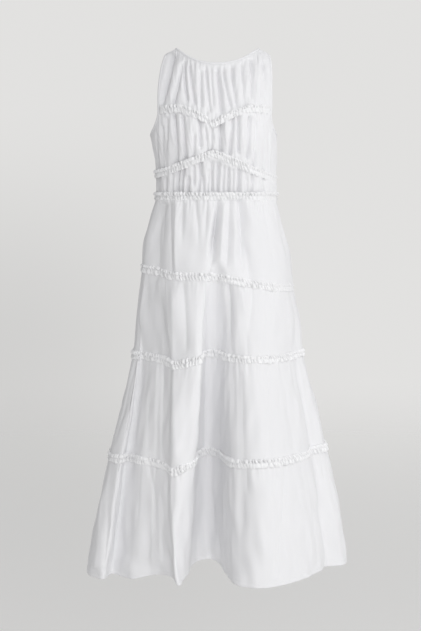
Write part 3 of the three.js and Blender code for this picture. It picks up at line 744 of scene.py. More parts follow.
def weave_group():
    """Plain weave: threads that cross over and under, with uneven thick places along them."""
    group, given, out = effect_group(
        "plain_weave",
        {
            "Threads": ("NodeSocketVector", None),
            "Pitch": ("NodeSocketFloat", 0.0004),
            "Unevenness": ("NodeSocketFloat", 0.5),
        },
        {"Height": "NodeSocketFloat", "Slubs": "NodeSocketFloat"},
    )
    w = Wiring(group)
    across = w.node("ShaderNodeSeparateXYZ", {0: given.outputs["Threads"]})
    turns = w.math("DIVIDE", math.pi, given.outputs["Pitch"])
    warp = w.math("SINE", w.math("MULTIPLY", across.outputs["X"], turns))
    weft = w.math("SINE", w.math("MULTIPLY", across.outputs["Y"], turns))
    over = w.math("MULTIPLY", warp, weft)
    slubs = []
    for stretch in ((*SLUBS, 1), (*SLUBS[::-1], 1)):
        drawn = w.vector("MULTIPLY", given.outputs["Threads"], stretch)
        noise = w.node("ShaderNodeTexNoise", {"Vector": drawn, "Scale": 1.0, "Detail": 2.0})
        slubs.append(noise.outputs["Fac"])
    both = w.math("SUBTRACT", w.math("ADD", *slubs), 1.0)
    uneven = w.math("MULTIPLY", both, given.outputs["Unevenness"])
    w.link(w.math("MULTIPLY_ADD", over, 0.5, uneven), out.inputs["Height"])
    w.link(uneven, out.inputs["Slubs"])
    return group


RUMPLE_DRAWN = 0.35  # how fast rumples change down the cloth beside across it, so that they run down


def rumple_group():
    """Soft small crumples that run down the cloth, and a faint drift of tone over the whole dress."""
    group, given, out = effect_group(
        "rumple",
        {"Place": ("NodeSocketVector", None), "Size": ("NodeSocketFloat", 0.02)},
        {"Height": "NodeSocketFloat", "Tone": "NodeSocketFloat"},
    )
    w = Wiring(group)
    scale = w.math("DIVIDE", 1.0, given.outputs["Size"])
    drawn = w.vector("MULTIPLY", given.outputs["Place"], (1, 1, RUMPLE_DRAWN))
    fine = w.node("ShaderNodeTexNoise", {"Vector": drawn, "Scale": scale, "Detail": 3.0})
    broad = w.node("ShaderNodeTexNoise", {"Vector": given.outputs["Place"], "Scale": 5.0, "Detail": 2.0})
    w.link(fine.outputs["Fac"], out.inputs["Height"])
    w.link(broad.outputs["Fac"], out.inputs["Tone"])
    return group


WEAVE = weave_group()
RUMPLE = rumple_group()


FURROW_SHADE = 0.4  # how much darker the bottom of a fine furrow is
RUMPLE_BUMP = {"Strength": 0.35, "Distance": 0.0012}
WEAVE_BUMP = {"Strength": 0.5, "Distance": 0.00006}


def cloth_material(name, colour, shade, pitch, unevenness, rumple, roughness, sheen):
    """Cotton: the colour drifts a little towards its shade, along threads and over the dress."""
    material = bpy.data.materials.new(name)
    material.use_nodes = True
    tree = material.node_tree
    tree.nodes.clear()
    w = Wiring(tree)
    cut = w.node("ShaderNodeUVMap", uv_map="cut").outputs["UV"]
    place = w.node("ShaderNodeTexCoord").outputs["Object"]
    weave = w.node("ShaderNodeGroup", node_tree=WEAVE)
    w.link(cut, weave.inputs["Threads"])
    weave.inputs["Pitch"].default_value = pitch
    weave.inputs["Unevenness"].default_value = unevenness
    soft = w.node("ShaderNodeGroup", node_tree=RUMPLE)
    w.link(place, soft.inputs["Place"])
    soft.inputs["Size"].default_value = rumple
    drift = w.math("MULTIPLY_ADD", weave.outputs["Slubs"], 0.5, soft.outputs["Tone"])
    tone = w.node("ShaderNodeMix", {"Factor": drift}, data_type="RGBA", clamp_factor=True)
    tone.inputs["A"].default_value = (*colour, 1)
    tone.inputs["B"].default_value = (*shade, 1)
    furrow = w.node("ShaderNodeAttribute", attribute_name="furrow").outputs["Fac"]
    kept = w.math("MULTIPLY_ADD", furrow, -FURROW_SHADE, 1.0)
    shaded = w.vector("MULTIPLY", tone.outputs["Result"], kept)
    rumpled = w.node("ShaderNodeBump", {**RUMPLE_BUMP, "Height": soft.outputs["Height"]})
    threads = {**WEAVE_BUMP, "Height": weave.outputs["Height"], "Normal": rumpled.outputs[0]}
    woven = w.node("ShaderNodeBump", threads)
    cotton = w.node(
        "ShaderNodeBsdfPrincipled",
        {
            "Base Color": shaded,
            "Roughness": roughness,
            "Specular IOR Level": 0.25,
            "Sheen Weight": sheen,
            "Sheen Roughness": 0.45,
            "Normal": woven.outputs[0],
        },
    )
    out = w.node("ShaderNodeOutputMaterial")
    w.link(cotton.outputs[0], out.inputs["Surface"])
    return material


WHITE, WHITE_SHADE = (0.84, 0.84, 0.855), (0.8, 0.8, 0.815)
poplin, trim_cloth, binding_cloth, thread_cotton = [
    cloth_material(*look)
    for look in (
        # name, colour, shade, thread pitch, unevenness, size of rumples, roughness, sheen
        ("poplin", WHITE, WHITE_SHADE, 0.0004, 0.5, 0.022, 0.85, 0.12),
        ("ruffle_trim", (0.92, 0.92, 0.93), (0.87, 0.87, 0.885), 0.0004, 0.5, 0.012, 0.85, 0.12),
        ("binding", WHITE, WHITE_SHADE, 0.0004, 0.4, 0.01, 0.82, 0.12),
        ("thread", (0.88, 0.88, 0.9), (0.8, 0.8, 0.82), 0.0003, 0.3, 0.008, 0.6, 0.05),
    )
]


# ---- Camera ----

CAMERA_TILT = 5.416  # degrees down from level


def make_camera():
    data = bpy.data.cameras.new("camera")
    data.sensor_width = 36
    data.lens = 71.91
    camera = added("camera", data)
    camera.location = (-0.0131, -3.0, -0.345)
    camera.rotation_euler = (math.radians(90 - CAMERA_TILT), 0, 0)
    bpy.context.scene.camera = camera


make_camera()


# ---- Lines of stitches ----

STITCH = {
    "pitch": 3.4, "long": 2.4, "wide": 0.5, "high": 0.42, "uneven": (0.88, 1.08), "lift": 0.08, "dip": 1.1,
}
STITCH_PROBE = (1.2, 0.01)  # mm along the line and share v between which directions are measured


def stitch_line(surface, v, length, side=1):
    """The middle of every stitch along share v of a surface, and its directions along, aside and out of
    the cloth. side is -1 where u and v turn the other way."""
    count = round(length / STITCH["pitch"])
    u = (np.arange(count) + 0.5) / count
    v = np.full_like(u, v)
    step = STITCH_PROBE[0] / length
    along = surface(u + step, v) - surface(u - step, v)
    across = surface(u, v + STITCH_PROBE[1]) - surface(u, v - STITCH_PROBE[1])
    out = np.cross(along, across) * side
    along, out = (d / np.linalg.norm(d, axis=1, keepdims=True) for d in (along, out))
    return surface(u, v), along, np.cross(out, along), out


# ---- Bodice panels ----

GATHER_RAISE = 3  # how far gathered cloth stands out from its form between two seams
NECK_PUCKERS = {"pitch": 6.5, "depth": 2.6, "reach": 15}
SEAM_PUCKERS = {"pitch": 7, "depth": 1.6, "reach": 13}
LONG_PUCKERS = {"pitch": 11, "depth": 1.8, "reach": 45}
PANEL_WAVES = {"wide": 16, "tall": 90, "height": 0.5}
PANEL_FULLNESS = 1.5
SEAM_REACH, COARSENING = 34, 2.4  # the grid is finer within SEAM_REACH of a seam than in a panel's middle


def raised(spot, height):
    point, normal = spot
    return point + normal * height[:, None]


def off_sides(u, start):
    """1 in the middle of a panel, falling to 0 at its sides over the shares from start to a half."""
    return 1 - smoothstep(np.abs(u - 0.5), start, 0.5)


def bodice_panel(name, node, edges, width, height, creases, seeds, behind=False, step=1.45):
    """A gathered panel of the bodice. edges gives turn and height at shares u and v."""

    def place(u, v):
        turn, z = edges(u, v)
        spot = bodice_spot(turn + 180 if behind else turn, z)
        x = spot[0][:, 0]
        along, from_top, from_bottom = u * width, (1 - v) * height, v * height
        free = swell(v) * off_sides(u, 0.46)
        raise_by = GATHER_RAISE * free - creased(x, z, creases) * off_sides(u, 0.47)
        top = puckers(along, from_top, width, seed=seeds, **NECK_PUCKERS)
        bottom = puckers(along, from_bottom, width, seed=seeds + 1, **SEAM_PUCKERS)
        from_seam = np.minimum(from_top, from_bottom)
        bottom += puckers(along, from_seam, width, seed=seeds + 3, **LONG_PUCKERS)
        uneven = undulation(along, from_top, seed=seeds + 2, **PANEL_WAVES) * free
        return raised(spot, raise_by - top - bottom + uneven)

    cut = (width * PANEL_FULLNESS * MM, height * MM)
    us, vs = evenly(round(width / step)), spaced(height, step, COARSENING * step, SEAM_REACH)
    return belongs(thickened(grid_piece(name, us, vs, place, cut, poplin), CLOTH), "poplin", node)


def yoke_edges(u, v):
    turn_top, z_top = neck_and_shoulders(u, NECK_DROP_FRONT)
    turn_chest, _ = across_chest(u)
    return lerp(turn_chest, turn_top, v), lerp(sweetheart_height(turn_chest), z_top, v)


def bust_top(u):
    """Turn and height of the bust panel's top edge: armhole, sweetheart seam and armhole."""
    aside = 2 * u - 1
    inner = 1 - 2 * ARMHOLE_SHARE
    past = np.clip((np.abs(aside) - inner) / (1 - inner), 0, 1)
    turn_curve, z_curve = armhole_curve(past ** ARMHOLE_EASE)
    turn_chest, _ = across_chest(np.clip(aside / inner, -1, 1) / 2 + 0.5)
    turn = np.where(past > 0, np.sign(aside) * turn_curve, turn_chest)
    return turn, np.where(past > 0, z_curve, sweetheart_height(turn_chest))


def bust_edges(u, v):
    turn, z_top = bust_top(u)
    return turn, lerp(underbust_height(turn), z_top, v)


def midriff_edges(u, v):
    turn = lerp(-90.0, 90.0, u)
    return turn, lerp(WAIST_Z, underbust_height(turn), v)


SIDE_SHARE, CURVE_SHARE = 0.4, 0.22  # of the back's side edge, up to the underarm and round the armhole


def back_side(v):
    """Turn and height of the back's side edge, from the waist up the side, armhole and shoulder."""
    side = np.clip(v / SIDE_SHARE, 0, 1)
    curve = np.clip((v - SIDE_SHARE) / CURVE_SHARE, 0, 1)
    straight = np.clip((v - SIDE_SHARE - CURVE_SHARE) / (1 - SIDE_SHARE - CURVE_SHARE), 0, 1)
    turn_curve, z_curve = armhole_curve(1 - curve)
    turn_straight, z_straight = armhole_side(straight)
    turn = np.where(straight > 0, turn_straight, turn_curve)
    z = np.where(straight > 0, z_straight, np.where(curve > 0, z_curve, lerp(WAIST_Z, UNDERARM_Z, side)))
    return turn, z


def back_edges(u, v):
    """Blends the back's four edges into turn and height at shares u and v."""
    turn_bottom, z_bottom = lerp(-90.0, 90.0, u), WAIST_Z
    turn_top, z_top = neck_and_shoulders(u, NECK_DROP_BACK)
    turn_side, z_side = back_side(v)
    turn_end, z_end = armhole_side(1.0)
    turn = lerp(turn_bottom, turn_top, v) + (2 * u - 1) * (turn_side - lerp(90, turn_end, v))
    return turn, lerp(z_bottom, z_top, v) + z_side - lerp(WAIST_Z, z_end, v)


yoke, bust, midriff = [
    bodice_panel(name, f"front_{name}", edges, width, height, BODICE_CREASES, seeds)
    for name, edges, width, height, seeds in (
        ("yoke", yoke_edges, 262, 120, 11),
        ("bust", bust_edges, 400, 110, 21),
        ("midriff", midriff_edges, 400, 75, 31),
    )
]
back = bodice_panel("back", "back_bodice", back_edges, 380, 320, BACK_CREASES, 41, behind=True, step=2.1)


# ---- Skirt tiers ----

TIER_RAISE = (4.5, 1.5, 1.5, 1)
TIER_PUCKERS = (
    {"pitch": 9, "depth": 2.6, "reach": 34},
    {"pitch": 8, "depth": 2, "reach": 26},
    {"pitch": 8, "depth": 1.8, "reach": 24},
    {"pitch": 8, "depth": 1.8, "reach": 26},
)
FOOT_PUCKERS = {"pitch": 11, "depth": 1, "reach": 10}
TIER_WAVES = {"wide": 50, "tall": 160, "height": 1.1}
SMOOTHED, SMOOTHED_BY = 0.8, (2, 7)  # how much a crease of these depths smooths the fine gathers
HEM = {"turning": 7, "raise": 0.45, "step": 1.6, "groove": 0.5, "groove_half": 1.4}
SIDE_SEAM = {"depth": 1.3, "half": 1.5}
TIER_FULLNESS = 1.4
MEASURED_AT = 0.6  # the share of its height at which a tier's length is measured
TIER_STEPS = ((2.0, 3.7, 4.0), (2.2, 4.0, 4.6), (2.4, 4.2, 5.0), (2.7, 4.6, 5.4))  # front, back and down
SEAM_STEP = 1.9  # down, beside a seam
# How squarely a wall has to face its way to take creases, from not at all to fully.
CREASE_FACING, HOLLOW_FACING, SIDE_FACING = (0.45, 0.85), (0.3, 0.65), (0.9, 0.97)
BACK_DEPTH = 0.8  # of the front's creases, which the back takes mirrored


def skirt_creases(spot, turn):
    """How far the skirt's creases press it in, by the side that the cloth faces."""
    point, normal = spot
    x, y, z = point.T
    backward = normal[:, 1]
    depth = creased(x, z, SKIRT_CREASES) * smoothstep(-backward, *CREASE_FACING)
    depth += creased(x, z, SKIRT_HOLLOWS) * smoothstep(-backward, *HOLLOW_FACING)
    depth += creased(x, z, mirrored(SKIRT_CREASES)) * smoothstep(backward, *CREASE_FACING) * BACK_DEPTH
    at_side = smoothstep(np.abs(np.sin(np.radians(turn))), *SIDE_FACING)
    depth += creased(y * np.sign(x), z, SIDE_CREASES) * at_side
    return depth


def side_seam_distance(turn, length):
    """The distance round a tier from the nearer side seam."""
    return (turn % 180 - 90) * length / 360


def skirt_ring(level):
    """The length of the skirt round a level, and the place at shares of it."""
    return along_ring(lambda m: skirt_point(m * FOLD_COUNT, np.full_like(m, float(level))))


def skirt_tier(tier):
    length, at_share = skirt_ring(tier + MEASURED_AT)
    height = float(SEAMS["z"][tier] - SEAMS["z"][tier + 1])
    front_step, back_step, down_step = TIER_STEPS[tier]
    is_last = tier == HEM_LEVEL - 1

    def place(u, v):
        around = at_share(u) * FOLD_COUNT
        spot = skirt_spot(around, tier + 1 - v)
        turn = read_folds(around, fold_turn)
        along, from_top, from_bottom = u * length, (1 - v) * height, v * height
        free = np.where(v > 0.5, swell(v), 1) if is_last else swell(v)
        pressed = skirt_creases(spot, turn)
        top = puckers(along, from_top, length, seed=60 + tier, ring=True, **TIER_PUCKERS[tier])
        top *= 1 - SMOOTHED * smoothstep(pressed, *SMOOTHED_BY)
        uneven = undulation(along, from_top, seed=70 + tier, around=length, **TIER_WAVES)
        rise = TIER_RAISE[tier] * free + uneven * free - top - pressed
        from_side_seam = side_seam_distance(turn, length) / SIDE_SEAM["half"]
        rise -= SIDE_SEAM["depth"] * np.exp(-(from_side_seam ** 2))
        if not is_last:
            rise -= puckers(along, from_bottom, length, seed=80 + tier, ring=True, **FOOT_PUCKERS)
        else:
            turning = HEM["turning"]
            rise += HEM["raise"] * (1 - smoothstep(from_bottom, turning, turning + HEM["step"]))
            rise -= HEM["groove"] * np.exp(-((from_bottom - turning - 1) / HEM["groove_half"]) ** 2)
        return raised(spot, rise)

    front = evenly(round(length / 2 / front_step)) / 2
    us = np.concatenate([front, 0.5 + evenly(round(length / 2 / back_step))[1:] / 2])
    vs = spaced(height, SEAM_STEP, down_step, SEAM_REACH)
    cut = (length * TIER_FULLNESS * MM, height * MM)
    piece = grid_piece(f"tier_{tier + 1}", us, vs, place, cut, poplin, close=True)
    belongs(thickened(piece, CLOTH), "poplin", f"tier_{tier + 1}_front", f"tier_{tier + 1}_back")
    return piece, stitch_line(place, (HEM["turning"] - 1) / height, length)


tiers, tier_lines = zip(*[skirt_tier(tier) for tier in range(HEM_LEVEL)])


# ---- Ruffle trims ----

TRIM_ABOVE, TRIM_BELOW = 9.5, 11
TRIM_FULLNESS = 1.6
TRIM_CLOTH, TRIM_STEP = 0.4, 1.1
# A frill across its width, from its lower edge (-1) over the line that it is sewn on (0) to its upper edge
# (1): how far it lies off the form in a hollow, and how much further between two hollows.
FRILL = table("across hollow crest", """
-1 0.2 0.4
-0.86 0 2.2
-0.58 -0.2 4.4
-0.22 -0.2 4.0
0 0 2.0
0.18 -0.4 5.0
0.48 -0.6 6.6
0.74 -0.4 4.8
0.9 0 2.2
1 0.1 0.3
""")
FRILL_SEAM = 4 / 9  # the share v of the line that it is sewn on
# A frill's hollows: their pitch, half width and lean, what makes them uneven, and the beats round the seam
# that gather them in clusters.
FRILL_HOLLOWS = {
    "pitch": 7.6, "half": 2.0, "narrowing": 0.03, "slant": 0.25, "lean": 0.35, "power": 1.7,
    "shift": 0.24, "halves": (0.65, 1.4), "deeps": (0.55, 1.2), "least": 0.25,
    "beats": (5, 8, 13), "beat": 0.2,
}
# How a trim's edges wander: the waves round the seam, how far the waves and the hollows move the edges,
# and how much the waves raise the crests.
WANDER = {"waves": (3, 7, 12, 19, 27, 41, 66, 90), "reach": 0.3, "drawn": 0.26, "height": 0.5}
# A calm stretch: over how many mm past calm_from the front gets calm and by what share, and what the
# trim has where it is calm: its depth in a hollow, the height its crests lose, and its furrow.
CALM = {"over": 28, "front": 0.7, "within": 0.5, "lower": 0.3, "furrow": 0.3}
FURROW_FROM = 0.3  # the depth in a hollow from which a furrow shows
CALM_SIDE, BEYOND = 84, 1000  # a calm_from for the bodice and the waist, and one past the whole dress


def hollows(length, seed):
    """A frill's hollows, uneven in place, width, depth and lean, in clusters. The function says how
    deep in a hollow a place is, 0 to 1, by its measure along the seam and off it."""
    random = np.random.default_rng(seed)
    sizes = FRILL_HOLLOWS
    count = round(length / sizes["pitch"])
    places = (np.arange(count) + random.uniform(-sizes["shift"], sizes["shift"], count)) * length / count
    halves = sizes["half"] * random.uniform(*sizes["halves"], count)
    leans = -sizes["slant"] + random.uniform(-1, 1, count) * sizes["lean"]
    phases = random.uniform(0, 1, len(sizes["beats"]))
    beats = sum(np.cos(TAU * (k * places / length + phase)) for k, phase in zip(sizes["beats"], phases))
    deeps = np.clip(random.uniform(*sizes["deeps"], count) + sizes["beat"] * beats, sizes["least"], 1)

    def read(along, off):
        i = np.floor(along / length * count).astype(int)
        within = np.zeros_like(along)
        for k in (i - 1, i, i + 1):
            k = k % count
            aside = along - places[k] - leans[k] * off
            aside = (aside + length / 2) % length - length / 2
            half = halves[k] * (1 - sizes["narrowing"] * np.abs(off))
            within = np.maximum(within, deeps[k] * np.exp(-np.abs(aside / half) ** sizes["power"]))
        return within

    return read


def frill(spot_at, length, seed, calm_ends, calm_from):
    """The points of a gathered strip. spot_at gives points and normals at places along the seam and
    shares t across the strip: -1 at its lower edge, 0 on the seam, 1 at its upper edge."""
    upper, lower = hollows(length, seed), hollows(length, seed + 1)
    waves = WANDER["waves"]
    phases = np.random.default_rng(seed + 2).uniform(0, TAU, len(waves))

    def across(column, t):
        return np.interp(t, FRILL["across"], FRILL[column])

    def laid(u, v):
        """Shares t across the strip, depth in a hollow, calmness, drift, points and normals."""
        along = u * length
        t = np.interp(v, evenly(len(FRILL["across"]) - 1), FRILL["across"])
        off = np.where(t > 0, t * TRIM_ABOVE, t * TRIM_BELOW)
        within = np.where(t > 0, upper(along, off), lower(along, off))
        calm = 1 - smoothstep(np.minimum(along, length - along), 0, calm_ends) if calm_ends else 0
        drift = sum(np.cos(TAU * k * u + phase) for k, phase in zip(waves, phases)) / len(waves)
        reach = 1 + WANDER["reach"] * drift - WANDER["drawn"] * within
        point, normal = spot_at(u, t * reach)
        past = smoothstep(point[:, 0], calm_from, calm_from + CALM["over"])
        calm_front = past * (normal[:, 1] < 0) * CALM["front"]
        return t, within, np.clip(calm + calm_front, 0, 1), drift, point, normal

    def place(u, v):
        t, within, calm, drift, point, normal = laid(u, v)
        within = lerp(within, CALM["within"], calm)
        crest = across("crest", t) * (1 - CALM["lower"] * calm)
        height = across("hollow", t) + crest * (1 - within) * (1 + WANDER["height"] * drift)
        return raised((point, normal), height)

    def furrow(u, v):
        t, within, calm, *_ = laid(u, v)
        depth = across("crest", t) / max(FRILL["crest"])
        return lerp(smoothstep(within, FURROW_FROM, 1), CALM["furrow"], calm) * depth

    return place, furrow


def ruffle(name, spot_at, length, seed, ring, calm_ends, calm_from):
    """A trim, gathered from a strip TRIM_FULLNESS times as long. calm_ends is how far in from its ends it
    lies calm, and calm_from is the x past which its front does."""
    place, furrow = frill(spot_at, length, seed, calm_ends, calm_from)
    us, vs = evenly(round(length / TRIM_STEP)), evenly(len(FRILL["across"]) - 1)
    cut = (length * TRIM_FULLNESS * MM, (TRIM_ABOVE + TRIM_BELOW) * MM)
    piece = grid_piece(f"{name}_frill", us, vs, place, cut, trim_cloth, close=ring, furrow=furrow)
    belongs(thickened(piece, TRIM_CLOTH), "ruffle_trim", f"ruffle_{name}")
    return piece, stitch_line(place, FRILL_SEAM, length), cut


def bodice_trim(seam_height_at, last_turn):
    """The surface that a trim lies on along a seam of the bodice, and the seam's length."""
    def seam(share):
        turn = lerp(-last_turn, last_turn, share)
        return turn, seam_height_at(turn)

    length, at_share = along_ring(lambda m: bodice_point(*seam(m)))

    def spot_at(share, t):
        turn, z = seam(at_share(share))
        return bodice_spot(turn, z + np.where(t > 0, TRIM_ABOVE, TRIM_BELOW) * t)

    return spot_at, length


def skirt_trim(level):
    """The same along a seam of the skirt. Above the waist it lies on the bodice."""
    length, at_share = skirt_ring(level)
    above = SEAMS["z"][max(level - 1, 0)] - SEAMS["z"][level]
    below = SEAMS["z"][level] - SEAMS["z"][level + 1]

    def spot_at(share, t):
        around = at_share(share % 1) * FOLD_COUNT
        turn = read_folds(around, fold_turn)
        if level == 0:
            skirt_level = np.maximum(-t, 0) * TRIM_BELOW / below
        else:
            skirt_level = level - np.where(t > 0, t * TRIM_ABOVE / above, t * TRIM_BELOW / below)
        point, normal = skirt_spot(around, skirt_level)
        point = point - normal * skirt_creases((point, normal), turn)[:, None]
        if level == 0:
            on_bodice, _ = bodice_spot(turn, WAIST_Z + np.maximum(t, 0) * TRIM_ABOVE)
            point = np.where((t > 0)[:, None], on_bodice + normal * GATHER_RAISE / 2, point)
        return point, normal

    return spot_at, length


trims = {}
for name, height_at, last_turn, seed, calm_ends in (
    ("sweetheart", sweetheart_height, ARMHOLE_TURN - 2, 101, 20),
    ("underbust", underbust_height, 86.0, 111, 0),
):
    trims[name] = ruffle(name, *bodice_trim(height_at, last_turn), seed, False, calm_ends, CALM_SIDE)
for level, (name, calm_from) in enumerate(
    (("waist", CALM_SIDE), ("tier_2", 125), ("tier_3", BEYOND), ("tier_4", BEYOND))
):
    trims[name] = ruffle(name, *skirt_trim(level), 121 + 10 * level, True, 0, calm_from)


# ---- Bindings ----

BINDING = {
    "width": 5.6, "thickness": 2.4, "overlap": 0.9, "sunk": 0.25, "flatness": 0.8, "pitch": 6.5,
    "stitched_at": 0.36, "step": 1.5, "sections": 14,
}
PINCH = {"shift": 0.35, "size": (0.2, 1), "half": 0.16, "thinner": 0.22, "narrower": 0.05}
NECK_POINTS, ARMHOLE_POINTS = 130, (50, 34)  # the armhole's on its straight side and on its curve
SMOOTHINGS = {"normals": 6, "points": 2}


def closed_edge(turn, z):
    """A closed edge as points, outward normals and directions towards the opening's middle."""
    point, normal = bodice_spot(turn, z)
    for _ in range(SMOOTHINGS["normals"]):
        normal = normal + np.roll(normal, 1, axis=0) + np.roll(normal, -1, axis=0)
        normal /= np.linalg.norm(normal, axis=1, keepdims=True)
    for _ in range(SMOOTHINGS["points"]):
        point = (2 * point + np.roll(point, 1, axis=0) + np.roll(point, -1, axis=0)) / 4
    along = np.roll(point, -1, axis=0) - np.roll(point, 1, axis=0)
    inward = np.cross(normal, along)
    inward /= np.linalg.norm(inward, axis=1, keepdims=True)
    to_middle = point.mean(axis=0) - point
    if (inward * to_middle).sum() < 0:
        inward = -inward
    return point, normal, inward


def neck_edge():
    share = lerp(SHOULDER_SHARE / 2, 1 - SHOULDER_SHARE / 2, np.linspace(0, 1, NECK_POINTS, endpoint=False))
    turn_front, z_front = neck_and_shoulders(share, NECK_DROP_FRONT)
    turn_back, z_back = neck_and_shoulders(share, NECK_DROP_BACK)
    return closed_edge(np.concatenate([turn_front, turn_back + 180]), np.concatenate([z_front, z_back]))


def armhole_edge(side):
    turn_side, z_side = armhole_side(np.linspace(1, 0, ARMHOLE_POINTS[0], endpoint=False))
    turn_curve, z_curve = armhole_curve(np.linspace(0, 1, ARMHOLE_POINTS[1]))
    turn, z = np.concatenate([turn_side, turn_curve]), np.concatenate([z_side, z_curve])
    whole_turn = np.concatenate([turn, 180 - turn[-2:0:-1]])
    return closed_edge(side * whole_turn, np.concatenate([z, z[-2:0:-1]]))


def at_loop(values, share):
    """Values round a closed loop, read at shares of its rows."""
    place = (share % 1) * len(values)
    i = np.floor(place).astype(int)
    f = (place - i)[:, None]
    return values[i % len(values)] * (1 - f) + values[(i + 1) % len(values)] * f


def binding(name, node, edge, seed):
    point, normal, inward = edge
    length, at_share = along_ring(lambda m: at_loop(point, m))
    random = np.random.default_rng(seed)
    folds = round(length / BINDING["pitch"])
    shifts = random.uniform(-PINCH["shift"], PINCH["shift"], folds)
    sizes = random.uniform(*PINCH["size"], folds)

    def place(u, v):
        share = at_share(u % 1)
        swing = TAU * v
        phase = u * folds
        k = np.floor(phase).astype(int) % folds
        pinch = sizes[k] * np.exp(-(((phase % 1) - 0.5 - shifts[k] * 0.5) / PINCH["half"]) ** 2)
        thick = BINDING["thickness"] / 2 * (1 - PINCH["thinner"] * pinch)
        wide = BINDING["width"] / 2 * (1 - PINCH["narrower"] * pinch)
        out = BINDING["width"] / 2 - BINDING["overlap"] + wide * np.cos(swing)
        swung = np.sin(swing)
        high = thick * np.sign(swung) * np.abs(swung) ** BINDING["flatness"] - BINDING["sunk"]
        return (
            at_loop(point, share)
            + at_loop(inward, share) * out[:, None]
            + at_loop(normal, share) * high[:, None]
        )

    flip = np.dot(np.cross(point[1] - point[0], normal[0]), inward[0]) > 0
    us, vs = evenly(round(length / BINDING["step"])), evenly(BINDING["sections"])
    cut = (length * MM, 4 * BINDING["width"] * MM)
    piece = grid_piece(name, us, vs[::-1] if flip else vs, place, cut, binding_cloth, close=True)
    belongs(piece, "binding", node)
    return piece, stitch_line(place, BINDING["stitched_at"], length, -1 if flip else 1)


bindings = [
    binding("neck_band", "neck_binding", neck_edge(), 171),
    binding("left_armhole_band", "left_armhole_binding", armhole_edge(1), 172),
    binding("right_armhole_band", "right_armhole_binding", armhole_edge(-1), 173),
]


# ---- Stitches ----

TWIST = 1.2  # how far the thread's twist slants across a stitch
THREAD_ROW = 0.00015  # the row of the weave that a stitch is read from


def stitches(name, slot, lines, seed):
    """One piece with all the stitches of some lines: short threads that dip in at both ends."""
    random = np.random.default_rng(seed)
    bm = bmesh.new()
    bmesh.ops.create_icosphere(bm, subdivisions=1, radius=0.5)
    bm.verts.index_update()
    shape = np.array([vert.co[:] for vert in bm.verts])
    corners = np.array([[vert.index for vert in face.verts] for face in bm.faces])
    bm.free()
    points, faces, total = [], [], 0
    for middle, along, aside, out in lines:
        count = len(middle)
        long = STITCH["long"] * random.uniform(*STITCH["uneven"], (count, 1, 1))
        local = shape * (1, STITCH["wide"], STITCH["high"])
        placed = (
            middle[:, None]
            + long * local[:, 0, None] * along[:, None]
            + local[:, 1, None] * aside[:, None]
            + (local[:, 2, None] + STITCH["lift"] - STITCH["dip"] * shape[:, 0, None] ** 2) * out[:, None]
        )
        points.append(placed.reshape(-1, 3))
        firsts = len(shape) * (total + np.arange(count))
        faces.append((corners[None] + firsts[:, None, None]).reshape(-1, 3))
        total += count
    mesh = bpy.data.meshes.new(name)
    mesh.from_pydata((np.concatenate(points) * MM).tolist(), [], np.concatenate(faces).tolist())
    mesh.shade_smooth()
    twist = np.tile((shape @ (STITCH["long"], TWIST * STITCH["wide"], 0))[corners.ravel()], total)
    spread = np.stack([twist * MM, np.full_like(twist, THREAD_ROW)], axis=-1)
    mesh.uv_layers.new(name="cut").data.foreach_set("uv", spread.ravel())
    mesh.materials.append(thread_cotton)
    return belongs(added(name, mesh), slot)


hem_stitches = stitches("hem_stitches", "poplin", [tier_lines[-1]], 181)
trim_stitches = {
    name: stitches(f"{name}_stitches", "ruffle_trim", [line], 182) for name, (_, line, _) in trims.items()
}
band_stitches = [
    stitches(f"{piece.name}_stitches", "binding", [line], 183) for piece, line in bindings
]


# ---- How the cloth was cut, and what each piece hangs from ----

for piece, flat, area, rests_on, with_pieces in (
    (yoke, (0.38, 0.165), 0.058, ["back"], [bindings[0][0], band_stitches[0]]),
    (bust, (0.56, 0.13), 0.07, ["yoke"], []),
    (midriff, (0.52, 0.08), 0.04, ["bust"], []),
    (back, (0.48, 0.345), 0.145, ["yoke"], [b[0] for b in bindings[1:]] + band_stitches[1:]),
):
    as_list(rests_on)
    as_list(with_pieces)


# ---- Studio ----

def make_stage():
    """A round pale floor that fades into the pale surroundings away from the dress."""
    floor_z, radius = -1.95, 9
    mesh = bpy.data.meshes.new("floor")
    bm = bmesh.new()
    bmesh.ops.create_circle(bm, cap_ends=True, segments=96, radius=radius)
    bmesh.ops.translate(bm, verts=bm.verts, vec=(0, 0, floor_z))
    bm.to_mesh(mesh)
    bm.free()
    material = bpy.data.materials.new("floor")
    material.use_nodes = True
    w = Wiring(material.node_tree)
    shader = material.node_tree.nodes["Principled BSDF"]
    shader.inputs["Base Color"].default_value = (0.96, 0.955, 0.945, 1)
    shader.inputs["Roughness"].default_value = 0.9
    shader.inputs["Specular IOR Level"].default_value = 0.1
    place = w.node("ShaderNodeTexCoord").outputs["Object"]
    flat = w.vector("MULTIPLY", place, (1, 1, 0))
    from_middle = w.node("ShaderNodeVectorMath", {0: flat}, operation="LENGTH").outputs["Value"]
    fading = {"Value": from_middle, "From Min": 0.5, "From Max": radius * 0.9, "To Min": 1.0, "To Max": 0.0}
    w.link(w.eased(fading), shader.inputs["Alpha"])
    mesh.materials.append(material)
    floor = added("floor", mesh)


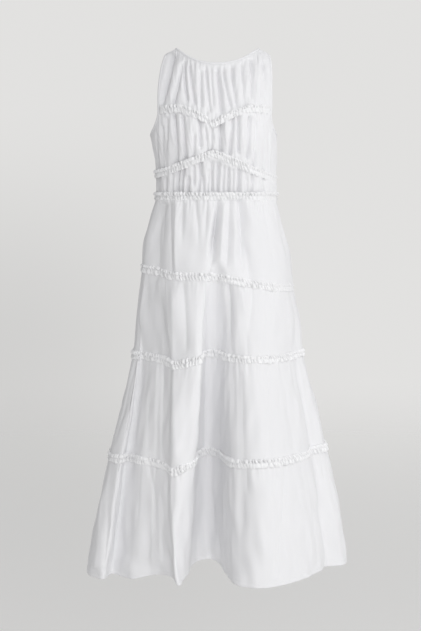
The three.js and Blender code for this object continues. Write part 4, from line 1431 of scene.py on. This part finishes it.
def make_light(name, place, aim_z, size, power):
    """A square light that looks at the dress's middle line at height aim_z."""
    data = bpy.data.lights.new(name, "AREA")
    data.size = size
    data.energy = power
    light = added(name, data)
    light.location = place
    direction = [aim - at for aim, at in zip((0, 0, aim_z), place)]
    away = math.hypot(direction[0], direction[1])
    light.rotation_euler = (math.atan2(away, -direction[2]), 0, math.atan2(-direction[0], direction[1]))


LIGHT_LEAN = 0.3  # how much stronger the light is straight from the right


def make_world(light, backdrop):
    """Light from all round, stronger from the right, before a pale backdrop, darker low on the left."""
    world = bpy.data.worlds.new("studio")
    world.use_nodes = True
    w = Wiring(world.node_tree)
    way = w.node("ShaderNodeSeparateXYZ", {0: w.node("ShaderNodeTexCoord").outputs["Generated"]})
    aside = {"Value": way.outputs["X"], "From Min": 0.08, "From Max": -0.17, "To Min": 0.0, "To Max": 0.16}
    low = {"Value": way.outputs["Z"], "From Min": 0.08, "From Max": -0.12, "To Min": 0.0, "To Max": 1.0}
    shade = w.math("SUBTRACT", 1.0, w.math("MULTIPLY", *[w.eased(given) for given in (aside, low)]))
    shown = w.node("ShaderNodeBackground", {"Color": (*backdrop, 1), "Strength": shade})
    lit = world.node_tree.nodes["Background"]
    lit.inputs["Color"].default_value = (1, 1, 1, 1)
    w.link(w.math("MULTIPLY_ADD", way.outputs["X"], light * LIGHT_LEAN, light), lit.inputs["Strength"])
    seen = w.node("ShaderNodeLightPath").outputs["Is Camera Ray"]
    chosen = w.node("ShaderNodeMixShader", {0: seen, 1: lit.outputs[0], 2: shown.outputs[0]})
    w.link(chosen.outputs[0], world.node_tree.nodes["World Output"].inputs["Surface"])
    bpy.context.scene.world = world


make_stage()
make_world(light=0.56, backdrop=(0.76, 0.755, 0.745))
make_light("key", (3.4, -2.0, 0.6), aim_z=-0.5, size=1.4, power=20)
make_light("front", (0.5, -4.3, -0.1), aim_z=-0.6, size=1.6, power=47.5)
make_light("top", (0.9, -1.9, 2.8), aim_z=-0.6, size=2.0, power=17)
bpy.context.scene.view_settings.view_transform = "Standard"
bpy.context.scene.view_settings.look = "None"
